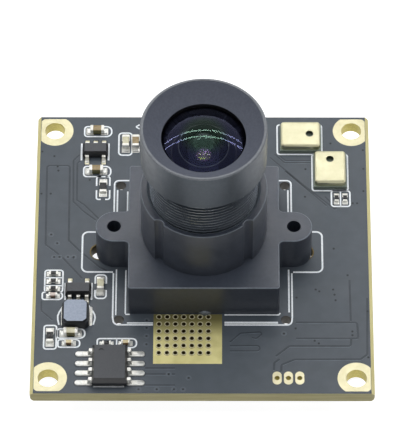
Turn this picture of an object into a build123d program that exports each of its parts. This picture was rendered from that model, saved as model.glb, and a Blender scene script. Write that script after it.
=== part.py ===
from build123d import *
import os
from math import sqrt

# Board camera: a square circuit board with a moulded lens holder, a screwed-in
# lens, two microphones and small electronic parts. All sizes are millimetres.
# The origin is the centre of the board's underside, +Z points out of the lens,
# and -Y is the edge with the solder pads for a cable.

# Circuit board
board_side = 38.0
board_thickness = 1.5
board_corner_radius = 0.25
scored_edge_bevel = 0.38
plating = 0.05
mask_edge_margin = 0.3
half_side = board_side / 2

# Mounting holes, each this far in from two edges, with gold-plated linings
mounting_hole_inset = 2.0
mounting_hole_radius = 1.15
mounting_pad_radius = 2.1

# Spare locating holes round the lens holder
locating_hole_spacing_x = 18.6
locating_hole_spacing_y = 18.45
locating_hole_radius = 0.57

# Plated holes for a three-wire lead, centred this far in from the corner's edges
lead_hole_count = 3
lead_hole_pitch = 1.25
lead_hole_radius = 0.28
lead_pad_width = 1.0
lead_pad_length = 1.7
lead_pad_inset = (9.5, 2.05)

# Heat pad: a bare gold-plated field of small through holes above the controller
heat_pad_size = (7.62, 6.62)
heat_pad_inset = (-1.63, 7.22)
heat_hole_columns = 7
heat_hole_rows = 6
heat_hole_pitch = (0.915, 0.96)
heat_hole_radius = 0.24
heat_hole_shift = (-0.45, 0.52)

# Lens holder: a hollow box with two screw ears and a round tower
axis_x = 0.15
holder_side = 16.8
holder_height = 5.0
holder_wall = 1.4
holder_roof = 1.2
holder_corner_radius = 0.3
holder_edge_softening = 0.15
ear_spacing = 20.06
ear_radius = 2.05
ear_hole_radius = 0.775
ear_root_fillet = 0.5
tower_radius = 7.0
tower_face_radius = 6.75
tower_height = 7.34
tower_groove_radius = 0.7
tower_groove_offset = 0.15
tower_mouth_chamfer = 0.25
tower_edge_softening = 0.12

# Slots in the board for the holder's two screws
slot_width = 2.0
slot_length = 3.65
slot_shift_x = -0.1
slot_inner_play = 0.2
slot_ring_width = 0.15

# Self-tapping screws that come up through the slots into the ears
screw_length = 4.5
screw_tip_length = 0.8
screw_head_radius = 1.9
screw_head_height = 1.2
screw_head_rounding = 0.35
screw_cross_length = 2.0
screw_cross_width = 0.4
screw_cross_depth = 0.6
screw_gap = 0.02

# Lens barrel, measured up from its rear end
thread_radius = 6.0
thread_pitch = 0.5
thread_depth = 0.3
thread_gap = 0.05
barrel_clear_height = 5.5
barrel_end_chamfer = 0.3
head_radius = 6.9
head_height = 5.43
head_lower_chamfer = 0.3
head_rim_chamfer = 0.12
rim_flat_width = 0.22

# Seats inside the barrel and the pieces that lie on them
glass_gap = 0.02
middle_bore_radius = 3.7
middle_seat_height = 10.2
middle_stop_radius = 2.2
middle_stop_thickness = 0.8
second_lens_edge = 1.3
second_lens_bulge = 0.55
second_lens_hollow = 0.25
lens_spacer_height = 0.7
spacer_opening = 3.0
front_seat_height = middle_seat_height + second_lens_edge + lens_spacer_height
front_lens_radius = 5.2
front_lens_edge = 1.9
front_lens_bulge = 1.2
front_lens_hollow = 1.8
front_lens_hollow_radius = 2.9
front_ring_height = 3.56
barrel_length = front_seat_height + front_lens_edge + front_ring_height
mouth_radius = 4.62
mouth_depth = 1.65
front_glass_depth = 0.41
rear_bore_radius = 4.0
aperture_thickness = 0.3
aperture_radius = 1.3
third_lens_edge = 1.5
third_lens_hollow = 0.3
third_lens_bulge = 0.85
rear_spacer_height = 2.0
rear_opening = 3.3
rear_lens_edge = 1.4
rear_lens_bulge = 0.85
rear_lens_hollow = 0.3
rear_ring_height = 1.0
filter_thickness = 0.3

# Image sensor under the lens
sensor_side = 8.0
sensor_height = 0.9
sensor_pocket_side = 6.6
sensor_pocket_depth = 0.55
die_side = 5.8
die_thickness = 0.3
sensor_glass_side = 7.2
sensor_glass_thickness = 0.4

# Microphones: a laminate base under a gold-plated can with a sound port
microphone_length = 4.72
microphone_width = 3.76
microphone_base_height = 0.5
microphone_can_margin = 0.12
microphone_can_height = 0.73
microphone_can_wall = 0.12
microphone_corner_radius = 0.35
microphone_edge_rounding = 0.1
microphone_port_radius = 0.44
microphone_port_offset = 1.03
upper_microphone_inset = (7.85, 3.25)
lower_microphone_inset = (4.53, 7.87)

# Memory chip: eight bent leads
memory_length = 4.9
memory_width = 3.9
memory_height = 1.5
memory_standoff = 0.15
memory_lead_pitch = 1.27
memory_lead_span = 6.0
memory_lead_width = 0.42
memory_lead_thickness = 0.2
memory_lead_exit = 0.7
memory_inset = (8.8, 3.25)
memory_dimple_radius = 0.3
memory_dimple_depth = 0.1
memory_dimple_inset = 0.95

# Voltage regulators: five bent leads each
regulator_length = 2.9
regulator_width = 1.6
regulator_height = 1.1
regulator_standoff = 0.1
regulator_lead_pitch = 0.95
regulator_lead_span = 2.8
regulator_lead_width = 0.4
regulator_lead_thickness = 0.15
regulator_lead_exit = 0.5
upper_regulator_inset = (6.7, 5.1)
lower_regulator_inset = (5.13, -5.5)
chip_draft_angle = 12.0

# Inductor: a ferrite drum with a resin-filled winding and two end terminals
inductor_side = 3.0
inductor_height = 1.5
inductor_flange = 0.35
inductor_cap_length = 2.86
inductor_cap_width = 2.5
inductor_corner_cut = 0.36
inductor_neck_radius = 0.7
inductor_terminal_width = 0.3
inductor_terminal_thickness = 0.08
inductor_terminal_length = 2.3
inductor_inset = (4.88, -8.95)

# Small chip parts: length, width and height of each standard size
chip_0603_capacitor = (1.6, 0.8, 0.8)
chip_0603_resistor = (1.6, 0.8, 0.45)
chip_0402_capacitor = (1.0, 0.5, 0.5)
chip_0402_resistor = (1.0, 0.5, 0.35)
terminal_share = 0.22
terminal_step = 0.02

# Glue drop at the holder's front foot
glue_radius = 0.75
glue_offset = 0.13

# Underside: controller, crystal and cable connector
controller_side = 9.0
controller_height = 0.85
controller_contact_count = 16
controller_contact_pitch = 0.5
controller_contact_width = 0.24
controller_contact_length = 0.4
controller_contact_thickness = 0.15
crystal_size = (3.2, 2.5, 0.8)
crystal_corner_radius = 0.3
crystal_gap = 2.2
connector_width = 8.2
connector_depth = 4.6
connector_height = 3.4
connector_wall = 0.6
connector_floor = 1.1
connector_overhang = 0.2
connector_pin_count = 4
connector_pin_pitch = 1.25
connector_pin_width = 0.4
connector_pin_tail = 0.7
connector_pin_reach = 2.2
connector_tab_length = 1.6
connector_tab_width = 0.9
connector_tab_thickness = 0.25

STANDING = (Align.CENTER, Align.CENTER, Align.MIN)
HANGING = (Align.CENTER, Align.CENTER, Align.MAX)

# The places on the board's outline that small parts are measured from
UPPER_LEFT = (-1, 1)
MIDDLE_LEFT = (-1, 0)
LOWER_LEFT = (-1, -1)
UPPER_RIGHT = (1, 1)
LOWER_RIGHT = (1, -1)
LOWER_MIDDLE = (0, -1)


def place(anchor, inset):
    """Point on the board, given as distances in from an edge or corner."""
    side_x, side_y = anchor
    x = side_x * (half_side - inset[0]) if side_x else inset[0]
    y = side_y * (half_side - inset[1]) if side_y else inset[1]
    return x, y


def on_board(anchor, inset, turn=0):
    """Location on the board's top face, turned about Z by some degrees."""
    x, y = place(anchor, inset)
    return Pos(x, y, board_thickness) * Rot(0, 0, turn)


def turned(points):
    """Solid of revolution about Z from (radius, height) corners."""
    return revolve(Plane.XZ * make_face(Polyline(*points, close=True)), axis=Axis.Z)


def ring(outer, inner, height):
    """Flat ring that stands on z = 0."""
    return turned([(inner, 0), (outer, 0), (outer, height), (inner, height)])


def cap_arc(start, end, bulge):
    """Arc in the (radius, height) plane from one point on the axis side to
    another, part of a circle centred on the axis. bulge is its rise there."""
    reach = max(start[0], end[0])
    edge = start[1] if start[0] else end[1]
    sphere = (reach ** 2 + bulge ** 2) / (2 * abs(bulge))
    half = reach / 2
    rise = sqrt(sphere ** 2 - half ** 2) - (sphere - abs(bulge))
    middle = (half, edge + rise * (1 if bulge > 0 else -1))
    return ThreePointArc(start, middle, end)


def lens(radius, edge, front, rear, neck=0):
    """Glass lens that stands on its rear edge at z = 0. front and rear are
    (clear radius, rise): a positive rise lifts the surface towards +Z. A neck
    raises the front surface over the edge."""
    front_radius, front_rise = front
    rear_radius, rear_rise = rear
    rim = edge + neck
    outline = [
        cap_arc((0, rear_rise), (rear_radius, 0), rear_rise),
        Line((rear_radius, 0), (radius, 0)),
        Line((radius, 0), (radius, edge)),
        Line((radius, edge), (front_radius, edge)),
        cap_arc((front_radius, rim), (0, rim + front_rise), front_rise),
        Line((0, rim + front_rise), (0, rear_rise)),
    ]
    if neck:
        outline.append(Line((front_radius, edge), (front_radius, rim)))
    return revolve(Plane.XZ * make_face(outline), axis=Axis.Z)


# Circuit board and its plated metal


def board_grid(spacing_x, spacing_y):
    """The four corners of a rectangle about the board's centre."""
    return [(x * spacing_x / 2, y * spacing_y / 2) for x in (-1, 1) for y in (-1, 1)]


def lining_blank(pad, hole):
    """Plated hole before it is bored: a pad in each face and a plug between."""
    lower = extrude(pad, plating)
    upper = Pos(0, 0, board_thickness - plating) * lower
    return lower + upper + extrude(offset(hole, plating), board_thickness)


def corner_pad_outlines():
    """Round pads at the mounting holes, cut short at the board's edges."""
    side_margin = scored_edge_bevel + plating
    limit = Rectangle(board_side - 2 * side_margin, board_side - 2 * mask_edge_margin)
    spacing = board_side - 2 * mounting_hole_inset
    for x, y in board_grid(spacing, spacing):
        yield Pos(x, y) * Circle(mounting_pad_radius) & limit, Pos(x, y) * Circle(mounting_hole_radius)


def slot_outlines():
    """Slots for the holder's screws, with their rings."""
    inner_end = ear_spacing / 2 - slot_inner_play - slot_width / 2
    for side in (-1, 1):
        spot = Pos(slot_shift_x + side * (inner_end + slot_length / 2), 0)
        ring_length = slot_length + 2 * slot_ring_width
        ring_width = slot_width + 2 * slot_ring_width
        yield spot * SlotOverall(ring_length, ring_width), spot * SlotOverall(slot_length, slot_width)


def lead_pad_outlines():
    """Row of oblong pads for a soldered lead."""
    centre_x, centre_y = place(LOWER_RIGHT, lead_pad_inset)
    for number in range(lead_hole_count):
        spot = Pos(centre_x + (number - (lead_hole_count - 1) / 2) * lead_hole_pitch, centre_y)
        pad = spot * SlotOverall(lead_pad_length, lead_pad_width, rotation=90)
        yield pad, spot * Circle(lead_hole_radius)


def heat_hole_places():
    """Centres of the heat pad's holes."""
    centre = Pos(*place(LOWER_MIDDLE, heat_pad_inset)) * Pos(*heat_hole_shift)
    return Locations([
        centre * spot for spot in GridLocations(*heat_hole_pitch, heat_hole_columns, heat_hole_rows)
    ])


def plated_linings(outlines):
    """Bored linings, one solid for each plated hole."""
    return [lining_blank(pad, hole) - extrude(hole, board_thickness) for pad, hole in outlines]


def heat_pad():
    """Gold-plated sheet let into the board's top face."""
    plate = Pos(*place(LOWER_MIDDLE, heat_pad_inset)) * Rectangle(*heat_pad_size)
    plate -= heat_hole_places() * Circle(heat_hole_radius)
    return Pos(0, 0, board_thickness - plating) * extrude(plate, plating)


def circuit_board():
    """Laminate with every hole, and shallow seats for the plated metal."""
    blank = Box(board_side, board_side, board_thickness, align=STANDING)
    blank = chamfer(blank.edges().filter_by(Axis.Y), scored_edge_bevel)
    blank &= extrude(RectangleRounded(board_side, board_side, board_corner_radius), board_thickness)
    outlines = [*corner_pad_outlines(), *slot_outlines(), *lead_pad_outlines()]
    for pad, hole in outlines:
        blank -= lining_blank(pad, hole)
    heat_seat = Pos(*place(LOWER_MIDDLE, heat_pad_inset)) * Rectangle(*heat_pad_size)
    blank -= Pos(0, 0, board_thickness - plating) * extrude(heat_seat, plating)
    heat_hole = Cylinder(heat_hole_radius, board_thickness, align=STANDING)
    locating_hole = Cylinder(locating_hole_radius, board_thickness, align=STANDING)
    blank -= heat_hole_places() * heat_hole
    return blank - [
        Pos(x, y) * locating_hole for x, y in board_grid(locating_hole_spacing_x, locating_hole_spacing_y)
    ]


# Lens holder and its screws


def ear_places():
    """Centres of the two screw ears."""
    return [(side * ear_spacing / 2, 0) for side in (-1, 1)]


def holder_outline():
    """Square with a rounded ear on each side and small fillets at their roots."""
    outline = RectangleRounded(holder_side, holder_side, holder_corner_radius)
    for x, y in ear_places():
        outline += Pos(x, y) * Circle(ear_radius)
        outline += Pos(x / 2, y) * Rectangle(abs(x), 2 * ear_radius)
    roots = [
        vertex for vertex in outline.vertices()
        if abs(abs(vertex.X) - holder_side / 2) < glass_gap and abs(abs(vertex.Y) - ear_radius) < glass_gap
    ]
    return fillet(roots, ear_root_fillet)


def tower_outline():
    """Round tower: wider on its left and right, with four upright grooves."""
    wedge = Polygon((0, 0), (holder_side, holder_side), (holder_side, -holder_side), align=None)
    sides = Circle(tower_radius) & (wedge + Rot(0, 0, 180) * wedge)
    outline = Circle(tower_face_radius) + sides
    grooves = PolarLocations(tower_radius + tower_groove_offset, 4, start_angle=45)
    return outline - grooves * Circle(tower_groove_radius)


def lens_holder():
    """Moulded holder with its sensor chamber, lens bore and screw holes."""
    body = extrude(holder_outline(), holder_height)
    body = fillet(body.faces().sort_by(Axis.Z)[-1].edges(), holder_edge_softening)
    tower = extrude(tower_outline(), tower_height)
    tower = fillet(tower.faces().sort_by(Axis.Z)[-1].edges(), tower_edge_softening)
    body += Pos(0, 0, holder_height) * tower
    chamber_side = holder_side - 2 * holder_wall
    chamber_height = holder_height - holder_roof
    body -= extrude(RectangleRounded(chamber_side, chamber_side, holder_wall / 2), chamber_height)
    bore = thread_radius + thread_gap
    top = holder_height + tower_height
    mouth = bore + tower_mouth_chamfer
    body -= turned([(0, 0), (bore, 0), (bore, top - tower_mouth_chamfer), (mouth, top), (0, top)])
    for x, y in ear_places():
        body -= Pos(x, y) * Cylinder(ear_hole_radius, holder_height, align=STANDING)
    return Pos(axis_x, 0, board_thickness) * body


def holder_screw():
    """Pan-head screw with its head under z = 0 and its shank pointing up."""
    radius = ear_hole_radius - screw_gap
    shoulder = screw_head_radius - screw_head_rounding
    screw = turned([
        (0, -screw_head_height), (shoulder, -screw_head_height),
        (screw_head_radius, -screw_head_height + screw_head_rounding), (screw_head_radius, 0),
        (radius, 0), (radius, screw_length - screw_tip_length), (0, screw_length),
    ])
    for angle in (0, 90):
        cross = Box(screw_cross_length, screw_cross_width, screw_cross_depth, align=STANDING)
        screw -= Pos(0, 0, -screw_head_height) * Rot(0, 0, angle) * cross
    return screw


def holder_screws():
    """One screw in each ear."""
    return [Pos(axis_x + x, y, 0) * holder_screw() for x, y in ear_places()]


# Lens: barrel, glasses and rings, each in the barrel's own heights


def in_barrel(height, solid):
    """Puts a piece on the lens axis at a height above the barrel's rear end."""
    return Pos(axis_x, 0, board_thickness + barrel_clear_height + height) * solid


def thread_corners(low, high):
    """Corners of rings that have the thread's section, as (radius, height) going up."""
    count = int((high - low) / thread_pitch)
    corners = []
    for number in range(count):
        level = low + number * thread_pitch
        corners += [(thread_radius, level), (thread_radius - thread_depth, level + thread_pitch / 2)]
    return corners + [(thread_radius, low + count * thread_pitch)]


def lens_barrel():
    """One turned piece: a wide head with a pocket for the glass over a threaded barrel."""
    head_low = barrel_length - head_height
    ring_seat = front_seat_height + front_lens_edge
    pocket = front_lens_radius + glass_gap
    rim = head_radius - head_rim_chamfer
    stop_low = middle_seat_height - middle_stop_thickness
    return in_barrel(0, turned([
        (rear_bore_radius, 0), (thread_radius - barrel_end_chamfer, 0),
        *thread_corners(barrel_end_chamfer, head_low - thread_pitch / 2), (thread_radius, head_low),
        (head_radius - head_lower_chamfer, head_low), (head_radius, head_low + head_lower_chamfer),
        (head_radius, barrel_length - head_rim_chamfer), (rim, barrel_length),
        (rim - rim_flat_width, barrel_length), (rim - rim_flat_width, ring_seat),
        (pocket, ring_seat), (pocket, front_seat_height), (middle_bore_radius, front_seat_height),
        (middle_bore_radius, middle_seat_height), (middle_stop_radius, middle_seat_height),
        (middle_stop_radius, stop_low), (rear_bore_radius, stop_low),
    ]))


def front_ring():
    """Wide ring that holds the front lens down; its cone is the lens's mouth."""
    low = front_seat_height + front_lens_edge
    outer = head_radius - head_rim_chamfer - rim_flat_width - glass_gap
    return in_barrel(0, turned([
        (mouth_radius, low), (outer, low), (outer, barrel_length), (mouth_radius, barrel_length - mouth_depth),
    ]))


def lens_pieces():
    """Glasses, rings, stop and filter, from the front of the lens to its rear."""
    middle = middle_bore_radius - glass_gap
    rear = rear_bore_radius - glass_gap
    pieces = {}
    pieces["front_retaining_ring"] = front_ring()
    pieces["front_lens"] = in_barrel(front_seat_height, lens(
        front_lens_radius, front_lens_edge, (mouth_radius - glass_gap, front_lens_bulge),
        (front_lens_hollow_radius, front_lens_hollow),
        front_ring_height - mouth_depth - front_glass_depth))
    pieces["second_lens"] = in_barrel(middle_seat_height, lens(
        middle, second_lens_edge, (spacer_opening, second_lens_bulge),
        (middle_stop_radius, second_lens_hollow)))
    spacer_seat = middle_seat_height + second_lens_edge
    pieces["lens_spacer"] = in_barrel(spacer_seat, ring(middle, spacer_opening, lens_spacer_height))
    level = middle_seat_height - middle_stop_thickness - aperture_thickness
    pieces["aperture_ring"] = in_barrel(level, ring(rear, aperture_radius, aperture_thickness))
    level -= third_lens_edge
    pieces["third_lens"] = in_barrel(level, lens(
        rear, third_lens_edge, (rear_opening, -third_lens_hollow), (rear_opening, -third_lens_bulge)))
    level -= rear_spacer_height
    pieces["rear_spacer"] = in_barrel(level, ring(rear, rear_opening, rear_spacer_height))
    level -= rear_lens_edge
    pieces["rear_lens"] = in_barrel(level, lens(
        rear, rear_lens_edge, (rear_opening, rear_lens_bulge), (rear_opening, rear_lens_hollow)))
    level -= rear_ring_height
    pieces["rear_retaining_ring"] = in_barrel(level, ring(rear, rear_opening, rear_ring_height))
    level -= filter_thickness
    pieces["infrared_filter"] = in_barrel(level, Cylinder(rear, filter_thickness, align=STANDING))
    return pieces


# Image sensor


def sensor_pieces():
    """Package, silicon die and cover glass on the board below the lens."""
    seat = Pos(axis_x, 0, board_thickness)
    package = Box(sensor_side, sensor_side, sensor_height, align=STANDING)
    floor = sensor_height - sensor_pocket_depth
    pocket = Box(sensor_pocket_side, sensor_pocket_side, sensor_pocket_depth, align=STANDING)
    die = Box(die_side, die_side, die_thickness, align=STANDING)
    glass = Box(sensor_glass_side, sensor_glass_side, sensor_glass_thickness, align=STANDING)
    return {
        "sensor_package": seat * (package - Pos(0, 0, floor) * pocket),
        "sensor_die": seat * Pos(0, 0, floor) * die,
        "sensor_glass": seat * Pos(0, 0, sensor_height) * glass,
    }


# Parts on the board's top face


def microphone_base():
    """Laminate base of a microphone."""
    return Box(microphone_length, microphone_width, microphone_base_height, align=STANDING)


def microphone_can():
    """Drawn metal can with soft edges, open below, with a sound port on top."""
    length = microphone_length - 2 * microphone_can_margin
    width = microphone_width - 2 * microphone_can_margin
    can = extrude(RectangleRounded(length, width, microphone_corner_radius), microphone_can_height)
    can = fillet(can.faces().sort_by(Axis.Z)[-1].edges(), microphone_edge_rounding)
    wall = microphone_can_wall
    inner = RectangleRounded(length - 2 * wall, width - 2 * wall, microphone_corner_radius - wall)
    can -= extrude(inner, microphone_can_height - wall)
    port = Cylinder(microphone_port_radius, microphone_can_height, align=STANDING)
    return Pos(0, 0, microphone_base_height) * (can - Pos(microphone_port_offset, 0) * port)


def moulded_body(length, width, height, standoff, band_low, band_height):
    """Chip body with drafted sides and an upright band where its leads leave."""
    band = Box(length, width, band_height, align=STANDING)
    upper = extrude(Rectangle(length, width), height - band_low - band_height, taper=chip_draft_angle)
    lower = Rot(180, 0, 0) * extrude(Rectangle(length, width), band_low - standoff, taper=chip_draft_angle)
    return Pos(0, 0, band_low) * (band + lower + Pos(0, 0, band_height) * upper)


def bent_lead(reach, exit_height, thickness, width):
    """Lead that leaves a body at x = 0, drops to the board and turns out again."""
    shoulder = reach / 4
    heel = reach / 2
    outline = Polygon(
        (0, exit_height), (shoulder - thickness / 2, exit_height), (heel - thickness, 0), (reach, 0),
        (reach, thickness), (heel, thickness), (shoulder + thickness / 2, exit_height + thickness),
        (0, exit_height + thickness), align=None)
    return extrude(Plane.XZ * outline, width / 2, both=True)


def lead_rows(positions, body_width, span, exit_height, thickness, width):
    """Leads on a body's two long sides; positions hold (place along it, side)."""
    lead = bent_lead((span - body_width) / 2, exit_height, thickness, width)
    return [
        Pos(along, side * body_width / 2) * Rot(0, 0, 90 * side) * lead
        for along, side in positions
    ]


def memory_chip():
    """Memory chip: its body, with a round pin mark, and its eight leads."""
    body = moulded_body(memory_length, memory_width, memory_height, memory_standoff,
                        memory_lead_exit, memory_lead_thickness)
    mark = Pos(memory_dimple_inset - memory_length / 2, memory_dimple_inset - memory_width / 2)
    dimple = Cylinder(memory_dimple_radius, memory_dimple_depth, align=HANGING)
    body -= mark * Pos(0, 0, memory_height) * dimple
    places = [((number - 1.5) * memory_lead_pitch, side) for number in range(4) for side in (-1, 1)]
    leads = lead_rows(places, memory_width, memory_lead_span, memory_lead_exit,
                      memory_lead_thickness, memory_lead_width)
    spot = on_board(LOWER_LEFT, memory_inset, turn=-90)
    return spot * body, [spot * lead for lead in leads]


def regulator(spot):
    """Voltage regulator: its body, and two leads on one side and three on the other."""
    body = moulded_body(regulator_length, regulator_width, regulator_height, regulator_standoff,
                        regulator_lead_exit, regulator_lead_thickness)
    places = [(number * regulator_lead_pitch, 1) for number in (-1, 1)]
    places += [(number * regulator_lead_pitch, -1) for number in (-1, 0, 1)]
    leads = lead_rows(places, regulator_width, regulator_lead_span, regulator_lead_exit,
                      regulator_lead_thickness, regulator_lead_width)
    return spot * body, [spot * lead for lead in leads]


def cut_cornered(length, width, cut):
    """Rectangle with its four corners cut off at 45 degrees."""
    plate = Rectangle(length, width)
    return chamfer(plate.vertices(), cut)


def inductor_pieces():
    """Ferrite drum, the resin-filled winding round its neck, and its terminals."""
    spot = on_board(MIDDLE_LEFT, inductor_inset)
    base = extrude(cut_cornered(inductor_side, inductor_side, inductor_corner_cut), inductor_flange)
    cap = extrude(cut_cornered(inductor_cap_width, inductor_cap_length, inductor_corner_cut), inductor_flange)
    winding_height = inductor_height - inductor_terminal_thickness - 2 * inductor_flange
    neck = Cylinder(inductor_neck_radius, winding_height, align=STANDING)
    core = base + Pos(0, 0, inductor_flange) * neck
    core += Pos(0, 0, inductor_flange + winding_height) * cap
    winding = extrude(cut_cornered(inductor_side, inductor_side, inductor_corner_cut), winding_height) - neck
    terminal = Box(inductor_terminal_width, inductor_terminal_length, inductor_terminal_thickness,
                   align=STANDING)
    lift = spot * Pos(0, 0, inductor_terminal_thickness)
    terminal_x = (inductor_side - inductor_terminal_width) / 2
    return {
        "inductor_core": [lift * core],
        "inductor_winding": [lift * Pos(0, 0, inductor_flange) * winding],
        "inductor_terminals": [spot * Pos(side * terminal_x, 0) * terminal for side in (-1, 1)],
    }


def chip_part(size):
    """Small two-ended part: a ceramic block with slightly proud plated ends."""
    length, width, height = size
    terminal = length * terminal_share
    block = Pos(0, 0, terminal_step) * Box(length - 2 * terminal, width - 2 * terminal_step,
                                           height - 2 * terminal_step, align=STANDING)
    for side in (-1, 1):
        block += Pos(side * (length - terminal) / 2, 0) * Box(terminal, width, height, align=STANDING)
    return block


CHIP_PARTS = {
    "capacitor_1": (chip_0603_capacitor, UPPER_LEFT, (6.85, 2.1), 0),
    "capacitor_2": (chip_0603_capacitor, UPPER_LEFT, (6.83, 7.75), 0),
    "capacitor_3": (chip_0603_capacitor, UPPER_LEFT, (10.15, 3.85), 90),
    "capacitor_4": (chip_0603_capacitor, UPPER_LEFT, (11.27, 3.85), 90),
    "capacitor_5": (chip_0603_capacitor, MIDDLE_LEFT, (7.6, -4.7), 90),
    "capacitor_6": (chip_0603_capacitor, MIDDLE_LEFT, (4.4, -11.1), 0),
    "capacitor_7": (chip_0402_capacitor, MIDDLE_LEFT, (4.2, -12.4), 0),
    "capacitor_8": (chip_0402_capacitor, LOWER_LEFT, (10.5, 6.6), 0),
    "capacitor_9": (chip_0402_capacitor, MIDDLE_LEFT, (2.3, -6.05), 0),
    "resistor_1": (chip_0603_resistor, UPPER_LEFT, (7.65, 10.1), 90),
    "resistor_2": (chip_0603_resistor, MIDDLE_LEFT, (2.08, -11.6), 90),
    "resistor_3": (chip_0402_resistor, MIDDLE_LEFT, (2.3, -3.05), 0),
    "resistor_4": (chip_0402_resistor, MIDDLE_LEFT, (2.3, -4.07), 0),
    "resistor_5": (chip_0402_resistor, MIDDLE_LEFT, (2.3, -5.08), 0),
    "resistor_6": (chip_0402_resistor, UPPER_RIGHT, (3.82, 11.6), 90),
    "resistor_7": (chip_0402_resistor, UPPER_RIGHT, (2.86, 11.6), 90),
    "resistor_8": (chip_0402_resistor, LOWER_LEFT, (8.4, 6.55), 0),
}


def glue_drop():
    """Half-round drop of glue against the holder's front face."""
    centre = Pos(axis_x + glue_offset, -holder_side / 2, board_thickness)
    keep = Box(2 * glue_radius, glue_radius, glue_radius, align=(Align.CENTER, Align.MAX, Align.MIN))
    return centre * (Sphere(glue_radius) & keep)


# Parts under the board


def controller_pieces():
    """Flat controller below the heat pad, with contacts along its four sides."""
    spot = Pos(*place(LOWER_MIDDLE, heat_pad_inset))
    body = Box(controller_side, controller_side, controller_height, align=HANGING)
    contact = Box(controller_contact_length, controller_contact_width, controller_contact_thickness,
                  align=(Align.MAX, Align.CENTER, Align.MAX))
    edge = Pos(controller_side / 2, 0) * contact
    row = [
        Pos(0, (number - (controller_contact_count - 1) / 2) * controller_contact_pitch) * edge
        for number in range(controller_contact_count)
    ]
    contacts = [spot * Rot(0, 0, angle) * item for angle in (0, 90, 180, 270) for item in row]
    seats = spot * body
    for item in contacts:
        seats -= item
    return seats, contacts


def crystal_can():
    """Flat metal-lidded crystal beside the controller."""
    length, width, height = crystal_size
    spot = Pos(*place(LOWER_MIDDLE, heat_pad_inset)) * Pos(controller_side / 2 + crystal_gap, 0)
    can = extrude(RectangleRounded(length, width, crystal_corner_radius), -height)
    return spot * Rot(0, 0, 90) * can


def connector_pieces():
    """Side-entry cable connector at the middle of the back edge."""
    mouth = half_side + connector_overhang
    spot = Pos(0, mouth - connector_depth / 2, 0)
    housing = Box(connector_width, connector_depth, connector_height, align=HANGING)
    cavity_width = connector_width - 2 * connector_wall
    cavity_height = connector_height - 2 * connector_wall
    cavity_depth = connector_depth - connector_floor
    cavity = Box(cavity_width, cavity_depth, cavity_height, align=(Align.CENTER, Align.MAX, Align.CENTER))
    housing -= Pos(0, connector_depth / 2, -connector_height / 2) * cavity
    pins = []
    pin_length = connector_pin_tail + connector_floor + connector_pin_reach
    for number in range(connector_pin_count):
        x = (number - (connector_pin_count - 1) / 2) * connector_pin_pitch
        back = -connector_depth / 2
        bar = Box(connector_pin_width, pin_length, connector_pin_width,
                  align=(Align.CENTER, Align.MIN, Align.CENTER))
        leg = Box(connector_pin_width, connector_pin_width, connector_height / 2,
                  align=(Align.CENTER, Align.MIN, Align.MAX))
        pin = Pos(x, back - connector_pin_tail, -connector_height / 2) * bar
        pin += Pos(x, back - connector_pin_tail, 0) * leg
        pins.append(pin)
        housing -= pin
    tab = Box(connector_tab_thickness, connector_tab_length, connector_tab_width, align=HANGING)
    tab_x = (connector_width + connector_tab_thickness) / 2
    tabs = [spot * Pos(side * tab_x, 0) * tab for side in (-1, 1)]
    return spot * housing, [spot * pin for pin in pins], tabs


# Every node of the model


def build_nodes():
    """All the camera's pieces by name; like pieces share one name."""
    nodes = {
        "circuit_board": [circuit_board()],
        "corner_pads": plated_linings(corner_pad_outlines()),
        "screw_slot_linings": plated_linings(slot_outlines()),
        "lead_pads": plated_linings(lead_pad_outlines()),
        "heat_pad": [heat_pad()],
        "lens_holder": [lens_holder()],
        "holder_screws": holder_screws(),
        "lens_barrel": [lens_barrel()],
        "glue_drop": [glue_drop()],
        "crystal_can": [crystal_can()],
    }
    nodes.update((name, [solid]) for name, solid in lens_pieces().items())
    nodes.update((name, [solid]) for name, solid in sensor_pieces().items())
    nodes.update(inductor_pieces())
    upper = on_board(UPPER_RIGHT, upper_microphone_inset)
    lower = on_board(UPPER_RIGHT, lower_microphone_inset, turn=90)
    for name, spot in (("upper_microphone", upper), ("lower_microphone", lower)):
        nodes[name + "_base"] = [spot * microphone_base()]
        nodes[name + "_can"] = [spot * microphone_can()]
    chips = {
        "memory_chip": memory_chip(),
        "upper_regulator": regulator(on_board(UPPER_LEFT, upper_regulator_inset, turn=180)),
        "lower_regulator": regulator(on_board(MIDDLE_LEFT, lower_regulator_inset)),
        "controller": controller_pieces(),
    }
    for name, (body, leads) in chips.items():
        nodes[name + "_body"] = [body]
        nodes[name + "_leads"] = leads
    housing, pins, tabs = connector_pieces()
    nodes["connector_housing"] = [housing]
    nodes["connector_pins"] = pins
    nodes["connector_tabs"] = tabs
    for name, (size, anchor, inset, turn) in CHIP_PARTS.items():
        nodes[name] = [on_board(anchor, inset, turn) * chip_part(size)]
    return nodes


def main():
    """Writes one STEP file for each node."""
    os.makedirs("parts", exist_ok=True)
    for name, solids in build_nodes().items():
        shape = solids[0] if len(solids) == 1 else Compound(children=solids)
        export_step(shape, os.path.join("parts", name + ".step"))


main()
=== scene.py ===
"""Board camera module, dressed for its picture.

The CAD nodes come in through the frame. The classes below dress them and add
what is too fine for the solids: printed lines, gaps in the copper, pads and
solder, the lens thread and the coated glasses. Places are in millimetres in
the row frame, with z = 0 at the underside of the board, and become metres
when a piece is finished.
"""

import logging
import math
from contextlib import contextmanager
from dataclasses import dataclass
from enum import Enum
from typing import Callable, Iterable, Iterator, Optional, Sequence, Union

import bmesh
import bpy
from bmesh.types import BMEdge, BMFace, BMVert
from bpy.types import Material, NodeSocket, NodeTree, Object
from mathutils import Matrix, Vector

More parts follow.
